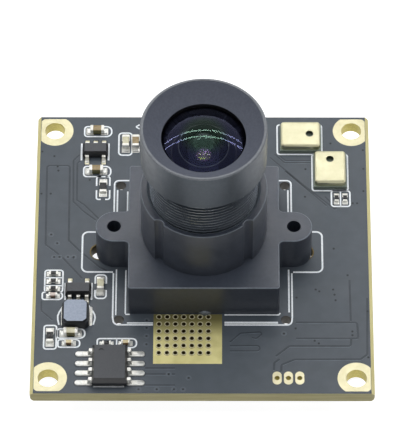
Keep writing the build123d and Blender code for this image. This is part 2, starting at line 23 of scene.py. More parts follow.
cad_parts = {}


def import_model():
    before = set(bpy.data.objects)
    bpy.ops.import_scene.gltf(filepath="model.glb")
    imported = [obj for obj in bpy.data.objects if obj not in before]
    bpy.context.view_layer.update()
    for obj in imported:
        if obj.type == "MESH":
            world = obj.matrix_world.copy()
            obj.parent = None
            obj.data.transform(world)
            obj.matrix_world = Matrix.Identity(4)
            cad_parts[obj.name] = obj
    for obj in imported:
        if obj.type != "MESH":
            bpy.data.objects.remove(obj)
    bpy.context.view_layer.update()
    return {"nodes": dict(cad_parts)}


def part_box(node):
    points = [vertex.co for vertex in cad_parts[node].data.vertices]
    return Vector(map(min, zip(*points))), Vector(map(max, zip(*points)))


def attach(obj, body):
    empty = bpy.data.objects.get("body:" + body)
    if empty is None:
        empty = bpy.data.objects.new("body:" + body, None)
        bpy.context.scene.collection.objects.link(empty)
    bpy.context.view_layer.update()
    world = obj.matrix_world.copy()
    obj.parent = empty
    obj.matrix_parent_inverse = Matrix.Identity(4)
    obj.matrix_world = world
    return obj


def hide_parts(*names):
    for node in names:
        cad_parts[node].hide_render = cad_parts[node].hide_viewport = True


LOG = logging.getLogger("camera_module")

METRES = 0.001
UP = Vector((0.0, 0.0, 1.0))

BOARD_TOP = 1.5
FLOOR_LEVEL = -3.4
AXIS_X = 0.15

# Vertices this near to each other become one, in drawn strips at twice that, and an edge below the
# last length is dissolved.
MERGED_WITHIN = 0.0005
STRIPS_MERGED_WITHIN = 0.001
NO_EDGE_BELOW = 0.00005

# A drawn line: degrees of a corner for one step, the turn in radians below which a corner counts as
# none, the share of a stretch that a corner may take and its least radius in widths of the line.
CORNER_STEP = 18
STRAIGHTEST = 0.02
ROOM_SHARE = 0.49
TIGHTEST = 0.52

# Between these values of a noise, a colour and a gloss go from one end to the other.
GRAIN_SPREAD = (0.35, 0.65)
GLOSS_SPREAD = (0.3, 0.7)

# Sockets of the mix node when it mixes colours.
MIX_SHARE, MIX_FIRST, MIX_SECOND, MIX_RESULT = 0, 6, 7, 2

Colour = tuple[float, float, float, float]
Point2 = tuple[float, float]
Point3 = tuple[float, float, float]


class Body(Enum):
    """The two bodies of the model: the board with what is fixed to it, and the lens."""

    BOARD = "board"
    LENS = "lens"


def linear(colour: str) -> Colour:
    """Turn an sRGB hex colour into the linear one that a shader takes.

    Args:
        colour: a colour as in "#rrggbb".

    Returns:
        Red, green, blue and a full alpha, linear.
    """
    shares = [int(colour[start:start + 2], 16) / 255 for start in (1, 3, 5)]
    red, green, blue = (
        share / 12.92 if share <= 0.04045 else ((share + 0.055) / 1.055) ** 2.4 for share in shares
    )
    return red, green, blue, 1.0


def add_node(
    tree: NodeTree,
    kind: str,
    inputs: dict[Union[str, int], object],
    output: Union[str, int] = 0,
    **settings: object,
) -> Optional[NodeSocket]:
    """Add one node to a material or the world, set it up and link it.

    Args:
        tree: the tree it goes into.
        kind: Blender's name for the node, after the words that all of them start with.
        inputs: what goes into its sockets, as a value or as another node's output.
        output: the output that is wanted of it.
        settings: the node's own settings.

    Returns:
        The wanted output, or None from a node that has none.
    """
    node = tree.nodes.new("ShaderNode" + kind)
    for name, value in settings.items():
        setattr(node, name, value)
    for key, value in inputs.items():
        if isinstance(value, NodeSocket):
            tree.links.new(value, node.inputs[key])
        else:
            node.inputs[key].default_value = value
    return node.outputs[output] if node.outputs else None


# Finishes


@dataclass(frozen=True)
class Finish:
    """A solid surface with a fine two-coloured grain and a bump of its own.

    The grains are in millimetres, the bump's height too. The roughness swings
    by a little either way, but never below the smoothest that is allowed.
    """

    name: str
    colour: str
    second: str
    roughness: float
    grain: float = 0.4
    metallic: float = 0.0
    ior: float = 1.5
    swing: float = 0.05
    bump: float = 0.004
    bump_grain: float = 0.15
    stretch: Point3 = (1.0, 1.0, 1.0)
    smoothest: float = 0.02

    def material(self) -> Material:
        """Make the material once and hand out the same one after that."""
        made = bpy.data.materials.get(self.name)
        if made is None:
            made = bpy.data.materials.new(self.name)
            made.use_nodes = True
            made.node_tree.nodes.clear()
            self.wire(made.node_tree)
        return made

    def pattern(self, tree: NodeTree, grain: float, detail: float = 3.0) -> NodeSocket:
        """Add a noise in object coordinates.

        Args:
            tree: the material's tree.
            grain: the size of a grain, in millimetres.
            detail: how many finer layers it has.

        Returns:
            The noise's value, about 0.5 in the middle.
        """
        place = add_node(tree, "TexCoord", {}, "Object")
        spread = add_node(tree, "Mapping", {"Vector": place, "Scale": self.stretch})
        return add_node(
            tree, "TexNoise", {"Vector": spread, "Scale": 1 / (grain * METRES), "Detail": detail}
        )

    def grained_colour(self, tree: NodeTree) -> NodeSocket:
        """Blend the two colours by the grain."""
        low, high = GRAIN_SPREAD
        grain = self.pattern(tree, self.grain)
        share = add_node(tree, "MapRange", {"Value": grain, "From Min": low, "From Max": high})
        inputs = {MIX_SHARE: share, MIX_FIRST: linear(self.colour), MIX_SECOND: linear(self.second)}
        return add_node(tree, "Mix", inputs, MIX_RESULT, data_type="RGBA")

    def relief(self, tree: NodeTree) -> NodeSocket:
        """Turn the finer grain into a bump."""
        height = self.pattern(tree, self.bump_grain, 2.0)
        return add_node(tree, "Bump", {"Height": height, "Distance": self.bump * METRES})

    def uneven_gloss(self, tree: NodeTree) -> NodeSocket:
        """Let the roughness wander a little over the surface, in patches of three grains."""
        low, high = GLOSS_SPREAD
        return add_node(tree, "MapRange", {
            "Value": self.pattern(tree, 3 * self.grain, 1.0), "From Min": low, "From Max": high,
            "To Min": max(self.roughness - self.swing, self.smoothest), "To Max": self.roughness + self.swing,
        })

    def wire(self, tree: NodeTree) -> None:
        """Wire the shader.

        Args:
            tree: the material's empty tree.
        """
        shader = add_node(tree, "BsdfPrincipled", {
            "Base Color": self.grained_colour(tree), "Roughness": self.uneven_gloss(tree),
            "Normal": self.relief(tree), "Metallic": self.metallic, "IOR": self.ior,
        })
        add_node(tree, "OutputMaterial", {"Surface": shader})


@dataclass(frozen=True)
class BoardFinish(Finish):
    """Solder mask over both faces, bare laminate on the cut sides and painted shade on the hole walls."""

    side: str = "#ece4a8"
    side_layer: str = "#b9ae70"
    layer: float = 0.35
    layer_stretch: Point3 = (0.06, 0.06, 1.0)
    # Painted shade: the darker grey that the walls of the holes take instead of the laminate.
    hole_wall: str = "#5d594c"
    reach: float = 18.4
    flat_from: float = 0.9

    def near_edge(self, tree: NodeTree, place: NodeSocket) -> NodeSocket:
        """Give 1 near the board's outline and 0 further in, where the small holes are."""
        size = add_node(tree, "VectorMath", {0: place}, operation="ABSOLUTE")
        across = add_node(tree, "SeparateXYZ", {"Vector": size}, "X")
        larger = add_node(tree, "Math", {0: across, 1: across.node.outputs["Y"]}, operation="MAXIMUM")
        return add_node(tree, "Math", {0: larger, 1: self.reach * METRES}, operation="GREATER_THAN")

    def laminate(self, tree: NodeTree, place: NodeSocket) -> NodeSocket:
        """Draw the layers of the laminate as long flat streaks."""
        squeezed = add_node(tree, "Mapping", {"Vector": place, "Scale": self.layer_stretch})
        layers = add_node(
            tree, "TexNoise", {"Vector": squeezed, "Scale": 1 / (self.layer * METRES), "Detail": 3.0}
        )
        inputs = {MIX_SHARE: layers, MIX_FIRST: linear(self.side_layer), MIX_SECOND: linear(self.side)}
        return add_node(tree, "Mix", inputs, MIX_RESULT, data_type="RGBA")

    def grained_colour(self, tree: NodeTree) -> NodeSocket:
        """Take the mask's colour on the flat faces, the laminate's on the outer sides and painted shade in
        the holes.
        """
        mask = super().grained_colour(tree)
        place = add_node(tree, "TexCoord", {}, "Object")
        # Walls away from the outline are holes and take the painted shade.
        inputs = {
            MIX_SHARE: self.near_edge(tree, place),
            MIX_FIRST: linear(self.hole_wall),
            MIX_SECOND: self.laminate(tree, place),
        }
        walls = add_node(tree, "Mix", inputs, MIX_RESULT, data_type="RGBA")
        facing = add_node(tree, "SeparateXYZ", {"Vector": place.node.outputs["Normal"]}, "Z")
        upright = add_node(tree, "Math", {0: facing}, operation="ABSOLUTE")
        flat = add_node(tree, "Math", {0: upright, 1: self.flat_from}, operation="GREATER_THAN")
        inputs = {MIX_SHARE: flat, MIX_FIRST: walls, MIX_SECOND: mask}
        return add_node(tree, "Mix", inputs, MIX_RESULT, data_type="RGBA")


@dataclass(frozen=True)
class GlassFinish(Finish):
    """Clear glass whose thin coating tints what it mirrors, in the middle otherwise if that is named."""

    mirror_tint: str = "#ffffff"
    middle_tint: str = ""
    middle_radius: float = 2.3
    middle_blur: float = 0.5
    mirror_level: float = 0.5

    def coating(self, tree: NodeTree) -> Union[Colour, NodeSocket]:
        """Give the one tint, or blend the two by the distance from the lens axis."""
        if not self.middle_tint:
            return linear(self.mirror_tint)
        place = add_node(tree, "TexCoord", {}, "Object")
        axis = (-AXIS_X * METRES, 0.0, 0.0)
        flat = add_node(tree, "Mapping", {"Vector": place, "Location": axis, "Scale": (1.0, 1.0, 0.0)})
        share = add_node(tree, "MapRange", {
            "Value": add_node(tree, "VectorMath", {0: flat}, "Value", operation="LENGTH"),
            "From Min": (self.middle_radius - self.middle_blur) * METRES,
            "From Max": (self.middle_radius + self.middle_blur) * METRES,
        })
        tints = {MIX_FIRST: linear(self.middle_tint), MIX_SECOND: linear(self.mirror_tint)}
        return add_node(tree, "Mix", {MIX_SHARE: share, **tints}, MIX_RESULT, data_type="RGBA")

    def wire(self, tree: NodeTree) -> None:
        """Wire a see-through shader with the coating's tint in its gloss."""
        shader = add_node(tree, "BsdfPrincipled", {
            "Base Color": self.grained_colour(tree), "Roughness": self.uneven_gloss(tree),
            "Transmission Weight": 1.0, "IOR": self.ior,
            "Specular IOR Level": self.mirror_level, "Specular Tint": self.coating(tree),
        })
        add_node(tree, "OutputMaterial", {"Surface": shader})


@dataclass(frozen=True)
class TurningFinish(Finish):
    """A finish whose colour turns from one hue to another between two places along Y, in millimetres."""

    far_colour: str = "#000000"
    turning: tuple[float, float] = (0.0, 1.0)

    def grained_colour(self, tree: NodeTree) -> NodeSocket:
        """Blend from the near hue to the far one along Y."""
        near = super().grained_colour(tree)
        place = add_node(tree, "TexCoord", {}, "Object")
        along = add_node(tree, "SeparateXYZ", {"Vector": place}, "Y")
        low, high = (limit * METRES for limit in self.turning)
        share = add_node(tree, "MapRange", {"Value": along, "From Min": low, "From Max": high})
        inputs = {MIX_SHARE: share, MIX_FIRST: near, MIX_SECOND: linear(self.far_colour)}
        return add_node(tree, "Mix", inputs, MIX_RESULT, data_type="RGBA")


# Matt dark grey solder mask over copper: flat and even with a soft sheen, yellow laminate at the cut sides.
SOLDER_MASK = BoardFinish("solder_mask_over_laminate", "#434a51", "#474e56", 0.42, grain=1.5, bump=0.002)
# Gap etched into the copper under the mask: a darker line, a little sunk.
MASKED_GAP = Finish("mask_in_etched_gap", "#2f353b", "#353b42", 0.45, grain=0.6)
# Hole filled with mask: near black, a painted shade of the hole's dip.
HOLE_SHADE_IN_MASK = Finish("painted_shade_in_mask_hole", "#212529", "#1d2125", 0.5, grain=0.6)
# Copper edge under the mask: a thin paler line, a painted highlight on the front side of each gap.
EDGE_HIGHLIGHT_IN_MASK = Finish("painted_highlight_on_copper_edge", "#59616a", "#626a73", 0.4, grain=0.6)
# Mask over the rim of a plated hole: only a shade paler than the field.
MASKED_RIM = Finish("mask_over_hole_rim", "#4b525a", "#535a62", 0.4, grain=0.6)
# Epoxy printing ink: flat white, slightly uneven.
PRINTING_INK = Finish("white_printing_ink", "#f0f4f7", "#dfe5ea", 0.6, grain=0.25)
# Electroless nickel under immersion gold: pale matt yellow metal.
IMMERSION_GOLD = Finish(
    "immersion_gold", "#cec8a8", "#c6c09e", 0.32, metallic=1.0, grain=0.6, swing=0.02, bump=0.001
)
# The same gold under the leads of the regulators: duller, it mirrors the lamps evenly.
LEAD_GOLD = Finish("gold_on_lead_pads", "#dcd8c0", "#d3ceb2", 0.42, metallic=0.8, grain=0.4)
# The same gold on the heat pad, stained by flux between its holes, and turning darker towards the holder as
# painted shade.
STAINED_AND_SHADED_GOLD = TurningFinish(
    "flux_stain_and_painted_shade_gold", "#e6de9f", "#d2ca8a", 0.5, metallic=0.4, grain=1.8, bump=0.003,
    far_colour="#7a7448", turning=(-11.4, -9.2),
)
# Dark brown gold metal on the wall of the heat pad's holes and of the screw slots.
DARK_BROWN_WALL = Finish("dark_brown_hole_wall", "#6e6038", "#5d5130", 0.5, metallic=0.4, grain=0.2)
# The same gold on the rims of the heat pad's holes: brighter than the pad.
PLATED_RIM = Finish("plated_hole_rim", "#ece6bf", "#ddd6aa", 0.45, metallic=0.6, grain=0.4)
# The same gold in a hole wall, darker where light hardly reaches.
HOLE_GOLD = Finish("plated_hole_wall", "#c2b66d", "#b0a562", 0.45, metallic=1.0, grain=0.2)
# Bare solder, cooled: bright grey metal, wavy.
SOLDER = Finish(
    "reflowed_solder", "#f1f2ee", "#d9dad5", 0.35, metallic=0.75, grain=0.3, bump=0.02, bump_grain=0.35
)
# Matt tin on stamped leads.
MATT_TIN = Finish("matt_tin_plate", "#f2f1eb", "#e3e2db", 0.42, metallic=0.8, grain=0.2)
# Glass-filled liquid crystal polymer, moulded: fine matt grain, pale grey-blue sheen.
MOULDED_HOLDER = Finish(
    "moulded_glass_filled_polymer", "#393f4b", "#343a45", 0.39, ior=1.68, grain=0.5, bump=0.005
)
# Rounded upper edge of the moulding: a paler grey, a painted highlight.
MOULDING_EDGE_HIGHLIGHT = Finish("painted_highlight_on_moulding_edge", "#747c86", "#6a727c", 0.45, grain=0.5)
# Turned aluminium, black anodised: a dark satin grey with a soft broad highlight.
BLACK_ANODISED = Finish(
    "black_anodised_aluminium", "#4f565e", "#4a5159", 0.34, metallic=0.55, grain=0.3,
    bump=0.001, bump_grain=0.12,
)
# Blasted before anodising, in the mouth: an even dark grey with no highlight.
MATT_MOUTH = Finish("blasted_black_anodised", "#50545f", "#4a4e59", 0.75, grain=0.25, bump=0.004)
# Edge of the turned rim: a paler grey, a painted highlight.
TURNED_RIM_HIGHLIGHT = Finish("painted_highlight_on_turned_rim", "#6d7177", "#63676d", 0.4, grain=0.3)
# Crest of the thread, where screwing has worn the coat to bright metal.
WORN_CREST = Finish("worn_thread_crest", "#a3a8ae", "#8b9097", 0.3, metallic=1.0, grain=0.5)
# Blackened brass ring; the same near black is painted shade on the front ring's bore wall.
BLACK_RING_AND_BORE_SHADE = Finish("ring_blackening_and_bore_shade", "#15161a", "#121317", 0.6, grain=0.3)
# Black lacquer on the ground back and edge of the front glass: deep and even.
EDGE_LACQUER = Finish("black_edge_lacquer", "#0e0f12", "#0b0c0e", 0.5, grain=0.3)
# Ground glass at the edge of the hollow: a fine pale ring.
GROUND_GLASS = Finish("ground_glass", "#666d70", "#5b6265", 0.7, grain=0.2)
# Coated crown glass: clear, with a violet glance.
FRONT_GLASS = GlassFinish(
    "coated_crown_glass", "#f6f8ff", "#f1f4ff", 0.03, ior=1.52, swing=0.01, grain=3.0,
    mirror_tint="#a9b4ff", middle_tint="#a6dcc4",
)
# Coated flint glass further in: a violet glance.
INNER_GLASS = GlassFinish(
    "coated_flint_glass", "#eef6f1", "#e8f2ec", 0.03, ior=1.6, swing=0.01, grain=3.0,
    mirror_tint="#c08ae0", mirror_level=0.12,
)
# Coated glass of the rear group: a yellow-green glance.
REAR_GLASS = GlassFinish(
    "coated_rear_glass", "#f2eef6", "#eee8f2", 0.03, ior=1.6, swing=0.01, grain=3.0,
    mirror_tint="#c4d820", mirror_level=0.7,
)
# Infrared filter: clear glass with a purple glance.
FILTER_GLASS = GlassFinish(
    "infrared_filter_glass", "#eef5f4", "#e9f0ef", 0.03, swing=0.01,
    mirror_tint="#b458cc", mirror_level=0.3,
)
# Cover glass of the sensor: clear, with a purple glance.
COVER_GLASS = GlassFinish(
    "sensor_cover_glass", "#f2f5f4", "#edf1f0", 0.03, swing=0.01,
    mirror_tint="#c050d8", mirror_level=0.9,
)
# Black alumina of the sensor package.
SENSOR_CERAMIC = Finish("black_alumina", "#2b2c2f", "#242528", 0.55, grain=0.3)
# Polished silicon with fine colour rows, yellow-green on one side turning to purple on the other: a painted
# reflection of their glance.
SILICON = TurningFinish(
    "silicon_with_painted_glance", "#9ab83a", "#8dab33", 0.2, grain=0.1, swing=0.02,
    far_colour="#6a3f8a", turning=(-0.8, 0.6),
)
# Gold-plated drawn can: pale, smooth and warm.
GOLD_CAN = Finish("gold_plated_can", "#d0ccae", "#c9c5a4", 0.33, metallic=1.0, grain=0.9, bump=0.004)
# Uncoated laminate of a microphone's base: dull green-grey.
BARE_LAMINATE = Finish("bare_glass_laminate", "#858f85", "#737d73", 0.6, grain=0.2, stretch=(1, 1, 5))
# Epoxy moulding compound of chips: dark grey with a fine sparkle of filler.
MOULDED_RESIN = Finish(
    "epoxy_moulding_compound", "#4a4c50", "#424448", 0.5, grain=0.12, bump=0.008, bump_grain=0.1
)
# The same compound on the polished drafted sides: near black, as painted shade.
RESIN_SHADED_SIDE = Finish("epoxy_side_painted_shade", "#26272a", "#212225", 0.4, grain=0.2)
# Manganese zinc ferrite on the ground top: mid grey-blue and slightly speckled, paler than the sides partly
# as painted sheen.
FERRITE = Finish("ferrite_ground_with_painted_sheen", "#9ea8b9", "#929cad", 0.45, grain=0.25)
# Pressed side of the same ferrite, near black: painted shade, out of the light.
FERRITE_SHADED_SIDE = Finish("ferrite_pressed_side_painted_shade", "#24272b", "#1f2225", 0.5, grain=0.25)
# Magnetic resin cast round the winding: dark grey.
WINDING_RESIN = Finish(
    "ferrite_filled_resin", "#2c2f33", "#25282b", 0.6, grain=0.3, bump=0.02, bump_grain=0.3
)
# Silicone glue: milky grey and smooth, like what lies under it.
SILICONE_GLUE = Finish("silicone_glue", "#6d747b", "#5f666d", 0.22, ior=1.41, grain=0.8)
# Drawn nickel lid of the crystal: bright and faintly warm.
NICKEL = Finish("nickel_lid", "#c7c3bb", "#bab6ae", 0.3, metallic=1.0, grain=0.3)
# Zinc plate of the screws: a little bluer and duller.
ZINC = Finish("zinc_plated_steel", "#b9bcc0", "#a9acb1", 0.35, metallic=1.0, grain=0.4)
# Natural nylon of the connector: milky white.
NYLON = Finish("natural_nylon", "#e2ddcf", "#dad5c6", 0.45, grain=1.0)
# Sintered titanate of chip capacitors, in the tones that one board mixes: the top in its own tone, the sides
# darker as painted shade.
TAN_CERAMIC = Finish("barium_titanate_tan", "#978561", "#8a7957", 0.25, grain=0.3)
TAN_SHADED_SIDE = Finish("titanate_tan_painted_side_shade", "#6f6a3c", "#646036", 0.3, grain=0.3)
PALE_CERAMIC = Finish("barium_titanate_pale", "#cfcbb0", "#c3bfa3", 0.25, grain=0.3)
PALE_SHADED_SIDE = Finish("titanate_pale_painted_side_shade", "#77713f", "#6b6639", 0.3, grain=0.3)
ORANGE_CERAMIC = Finish("barium_titanate_orange", "#d6c7a0", "#c9ba93", 0.25, grain=0.3)
ORANGE_SHADED_SIDE = Finish("titanate_orange_painted_side_shade", "#9a7446", "#8c683d", 0.3, grain=0.3)
PINK_CERAMIC = Finish("barium_titanate_pink", "#d4c6be", "#c7b9b1", 0.25, grain=0.3)
PINK_SHADED_SIDE = Finish("titanate_pink_painted_side_shade", "#93765e", "#866b55", 0.3, grain=0.3)
# Overglaze of a chip resistor: black and glossy.
RESISTOR_GLAZE = Finish("resistor_overglaze", "#1d1e21", "#17181a", 0.3, grain=0.3)
# Fired alumina below the overglaze.
ALUMINA = Finish("fired_alumina", "#d8d8d4", "#cdcdc9", 0.5, grain=0.3)


# Making pieces


@dataclass(frozen=True)
class Line:
    """A drawn line on the board: its corners, its width and its corners' radius."""

    corners: tuple[Point2, ...]
    width: float = 0.18
    radius: float = 0.3
    closed: bool = False


def box_line(left: float, right: float, low: float, high: float, radius: float = 0.3) -> Line:
    """Make the closed outline of a rectangle."""
    return Line(((left, low), (right, low), (right, high), (left, high)), radius=radius, closed=True)


@dataclass
class Space:
    """A box of space between its lowest and its highest corner, in millimetres."""

    low: Vector
    high: Vector

    @property
    def size(self) -> Vector:
        """Give its length along each axis."""
        return self.high - self.low

    @property
    def middle(self) -> Vector:
        """Give the place of its middle."""
        return (self.low + self.high) / 2

    def grown(self, axis: int, below: float, above: Optional[float] = None) -> "Space":
        """Copy it with its two ends moved outwards along one axis.

        Args:
            axis: 0 for X, 1 for Y, 2 for Z.
            below: how far its lower end moves.
            above: how far its upper end moves, as far as the lower one if it isn't given.

        Returns:
            The new space.
        """
        low, high = self.low.copy(), self.high.copy()
        low[axis] -= below
        high[axis] += below if above is None else above
        return Space(low, high)

    def lengthened(self, axis: int, far: bool, outer: float, inner: float) -> "Space":
        """Copy it with its outer end, the far or the near one, moved otherwise than its inner end."""
        return self.grown(axis, inner, outer) if far else self.grown(axis, outer, inner)

    def between(self, low: float, high: float) -> "Space":
        """Copy it with another lower and upper level."""
        return Space(Vector((self.low.x, self.low.y, low)), Vector((self.high.x, self.high.y, high)))

    def on_board(self, height: float) -> "Space":
        """Copy it so that it stands on the board with this height."""
        return self.between(BOARD_TOP, BOARD_TOP + height)


def cap_points(radius: float, rise: float, level: float, steps: int = 14) -> list[Point2]:
    """Lay points along the section of a round glass cap.

    Args:
        radius: the cap's clear radius.
        rise: how far its middle stands over its rim, less than 0 for a hollow.
        level: the height of its rim.
        steps: how many stretches the section gets.

    Returns:
        Radius and height of each point, from the rim to the axis.
    """
    depth = abs(rise)
    ball = (radius ** 2 + depth ** 2) / (2 * depth)
    widest = math.asin(radius / ball)
    points = []
    for number in range(steps + 1):
        angle = widest * (1 - number / steps)
        height = ball * math.cos(angle) - (ball - depth)
        points.append((ball * math.sin(angle), level + math.copysign(height, rise)))
    return points


def only(items: Iterable[object], kind: type) -> list:
    """Keep the items of one kind out of what an operator returns."""
    return [item for item in items if isinstance(item, kind)]


class Workpiece:
    """A piece in the making: its mesh in millimetres and the finishes on it."""

    def __init__(self, name: str, body: Body, slot: str) -> None:
        """Start an empty piece.

        Args:
            name: the piece's name.
            body: the body that it rides on.
            slot: the record's material slot that it belongs to; not used.
        """
        self.name = name
        self.body = body
        self.slot = slot
        self.mesh = bmesh.new()
        self.finishes: list[Finish] = []

    @contextmanager
    def in_finish(self, finish: Finish) -> Iterator[None]:
        """Give the finish to every face that is made inside the with block."""
        yield
        mark = self.mark_of(finish)
        for face in self.new_faces():
            face.material_index = mark

    def mark_of(self, finish: Finish) -> int:
        """Number a finish, from 1, so that 0 stays the mark of a new face."""
        if finish not in self.finishes:
            self.finishes.append(finish)
        return self.finishes.index(finish) + 1

    def new_faces(self) -> list[BMFace]:
        """List the faces that have no finish yet."""
        return [face for face in self.mesh.faces if face.material_index == 0]

    def repaint(self, finish: Finish, wanted: Callable[[Vector, Vector], bool]) -> None:
        """Give a finish to some of the faces that are there.

        Args:
            finish: the new finish.
            wanted: a test that picks a face by its middle and its normal.
        """
        bmesh.ops.recalc_face_normals(self.mesh, faces=self.mesh.faces[:])
        mark = self.mark_of(finish)
        for face in self.mesh.faces:
            if wanted(face.calc_center_median(), face.normal):
                face.material_index = mark

    def lathe(self, outline: Sequence[Point2], steps: int, centre: Point2 = (AXIS_X, 0.0)) -> None:
        """Spin a closed outline round an upright axis.

        Args:
            outline: its corners, as radius and height.
            steps: how many steps make the full turn.
            centre: where the axis stands, on the lens's own if it isn't given.
        """
        axis_x, axis_y = centre
        verts = [self.mesh.verts.new((axis_x + radius, axis_y, height)) for radius, height in outline]
        edges = [self.mesh.edges.new(pair) for pair in zip(verts, verts[1:] + verts[:1])]
        bmesh.ops.spin(
            self.mesh, geom=verts + edges, cent=(axis_x, axis_y, 0.0), axis=UP,
            angle=2 * math.pi, steps=steps, use_merge=True,
        )

    def tube(
        self, inner: float, outer: float, low: float, high: float, centre: Point2, steps: int
    ) -> None:
        """Stand an upright tube between two levels, or a disc where its inner radius is 0."""
        self.lathe([(inner, low), (outer, low), (outer, high), (inner, high)], steps, centre)

    def cube(self, space: Space) -> list[BMVert]:
        """Fill a space with a plain block and return its vertices."""
        place = Matrix.Translation(space.middle) @ Matrix.Diagonal((*space.size, 1.0))
        return bmesh.ops.create_cube(self.mesh, size=1.0, matrix=place)["verts"]

    def soften(
        self, edges: Iterable[BMEdge], offset: float, segments: int = 2
    ) -> list[BMVert]:
        """Round edges off and return the vertices that this makes."""
        return bmesh.ops.bevel(
            self.mesh, geom=list(edges), offset=offset, offset_type="OFFSET", affect="EDGES",
            segments=segments, profile=0.5, material=-1, clamp_overlap=True,
        )["verts"]

    def block(self, space: Space, bevel: float, taper: float = 0.0) -> None:
        """Stand a block in a space.

        Args:
            space: what it fills.
            bevel: how far its edges are rounded.
            taper: how far each side leans in towards the top.
        """
        verts = self.cube(space)
        if taper:
            size = space.size
            top = [vert for vert in verts if vert.co.z > space.middle.z]
            share = (1 - 2 * taper / size.x, 1 - 2 * taper / size.y, 1.0)
            bmesh.ops.scale(self.mesh, vec=share, space=Matrix.Translation(-space.middle), verts=top)
        self.soften({edge for vert in verts for edge in vert.link_edges}, bevel)

    def pill(self, space: Space, dome: float, rounding: float = 0.48, corner_segments: int = 5) -> None:
        """Stand a plate with round corners in a space.

        Args:
            space: what it fills.
            dome: how far its upper edge is rounded.
            rounding: the radius of its upright edges, as a share of its narrower side.
            corner_segments: how many flats make one round corner.
        """
        size, top = space.size, space.high.z
        edges = {edge for vert in self.cube(space) for edge in vert.link_edges}
        upright = [
            edge for edge in edges if abs(edge.verts[0].co.z - edge.verts[1].co.z) > size.z / 2
        ]
        corners = self.soften(upright, rounding * min(size.x, size.y), corner_segments)
        self.soften({
            edge for vert in corners for face in vert.link_faces for edge in face.edges
            if all(abs(end.co.z - top) < size.z / 10 for end in edge.verts)
        }, dome)

    def take_node(self, node: Object) -> None:
        """Copy a CAD node's mesh in and merge its loose triangles."""
        self.mesh.from_mesh(node.data)
        for face in self.mesh.faces:
            face.material_index = 0
        bmesh.ops.scale(self.mesh, vec=(1 / METRES,) * 3, verts=self.mesh.verts[:])
        bmesh.ops.remove_doubles(self.mesh, verts=self.mesh.verts[:], dist=MERGED_WITHIN)

    def pulled(self, edge: BMEdge, step: Vector) -> BMEdge:
        """Draw a strip straight on from an edge and return its far edge."""
        made = bmesh.ops.extrude_edge_only(self.mesh, edges=[edge])["geom"]
        verts = only(made, BMVert)
        bmesh.ops.translate(self.mesh, verts=verts, vec=step)
        return self.mesh.edges.get(verts)

    def swept(self, edge: BMEdge, centre: Vector, turn: float) -> BMEdge:
        """Draw a strip round a corner.

        Args:
            edge: where it starts.
            centre: the middle of the bend.
            turn: the bend's angle in radians, more than 0 to the left.

        Returns:
            Its far edge.
        """
        steps = max(2, round(abs(turn) / math.radians(CORNER_STEP)))
        last = bmesh.ops.spin(
            self.mesh, geom=[edge, *edge.verts], cent=centre, axis=UP,
            angle=turn, steps=steps, use_merge=False,
        )["geom_last"]
        return only(last, BMEdge)[0]

    def ribbon(self, line: Line) -> None:
        """Draw a line on the board as a flat strip with rounded corners."""
        route = [Vector((x, y, BOARD_TOP)) for x, y in line.corners]
        if line.closed:
            start = (route[0] + route[-1]) / 2
            route = [start, *route, start]
        place, heading = route[0], (route[1] - route[0]).normalized()
        side = UP.cross(heading) * line.width / 2
        edge = self.mesh.edges.new([self.mesh.verts.new(place + side), self.mesh.verts.new(place - side)])
        for before, corner, after in zip(route, route[1:], route[2:]):
            onward = (after - corner).normalized()
            turn = math.atan2(heading.cross(onward).z, heading.dot(onward))
            if abs(turn) < STRAIGHTEST:
                continue
            room = ROOM_SHARE * min((corner - before).length, (after - corner).length)
            reach = min(max(line.radius, TIGHTEST * line.width) * math.tan(abs(turn) / 2), room)
            radius = reach / math.tan(abs(turn) / 2)
            bend = corner - heading * reach
            edge = self.pulled(edge, bend - place)
            edge = self.swept(edge, bend + UP.cross(heading) * math.copysign(radius, turn), turn)
            place, heading = corner + onward * reach, onward
        self.pulled(edge, route[-1] - place)

    def thicken(self, height: float) -> None:
        """Close the doubles of the new flat faces and raise them to thin plates."""
        loose = {vert for face in self.new_faces() for vert in face.verts}
        bmesh.ops.remove_doubles(self.mesh, verts=list(loose), dist=STRIPS_MERGED_WITHIN)
        made = bmesh.ops.extrude_face_region(self.mesh, geom=self.new_faces())["geom"]
        bmesh.ops.translate(self.mesh, verts=only(made, BMVert), vec=UP * height)

    def finish(self, replaced: Sequence[str] = (), sharp: float = 32.0) -> None:
        """Turn the mesh into an object, dress it and hang it on its body.

        Args:
            replaced: the CAD nodes that it stands for.
            sharp: the angle in degrees above which an edge stays sharp.
        """
        bmesh.ops.remove_doubles(self.mesh, verts=self.mesh.verts[:], dist=MERGED_WITHIN)
        bmesh.ops.dissolve_degenerate(self.mesh, edges=self.mesh.edges[:], dist=NO_EDGE_BELOW)
        bmesh.ops.recalc_face_normals(self.mesh, faces=self.mesh.faces[:])
        bmesh.ops.scale(self.mesh, vec=(METRES,) * 3, verts=self.mesh.verts[:])
        for face in self.mesh.faces:
            face.smooth = True
            face.material_index = max(face.material_index - 1, 0)
        for edge in self.mesh.edges:
            edge.smooth = edge.calc_face_angle(0.0) < math.radians(sharp)
        data = bpy.data.meshes.new(self.name)
        self.mesh.to_mesh(data)
        self.mesh.free()
        custom = data.attributes.get("custom_normal")
        if custom is not None:
            data.attributes.remove(custom)
        for finish in self.finishes:
            data.materials.append(finish.material())
        piece = bpy.data.objects.new(self.name, data)
        bpy.context.scene.collection.objects.link(piece)
        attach(piece, self.body.value)
        if replaced:
            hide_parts(*replaced)
        LOG.info("%s: %d faces on %s", self.name, len(data.polygons), self.body.value)


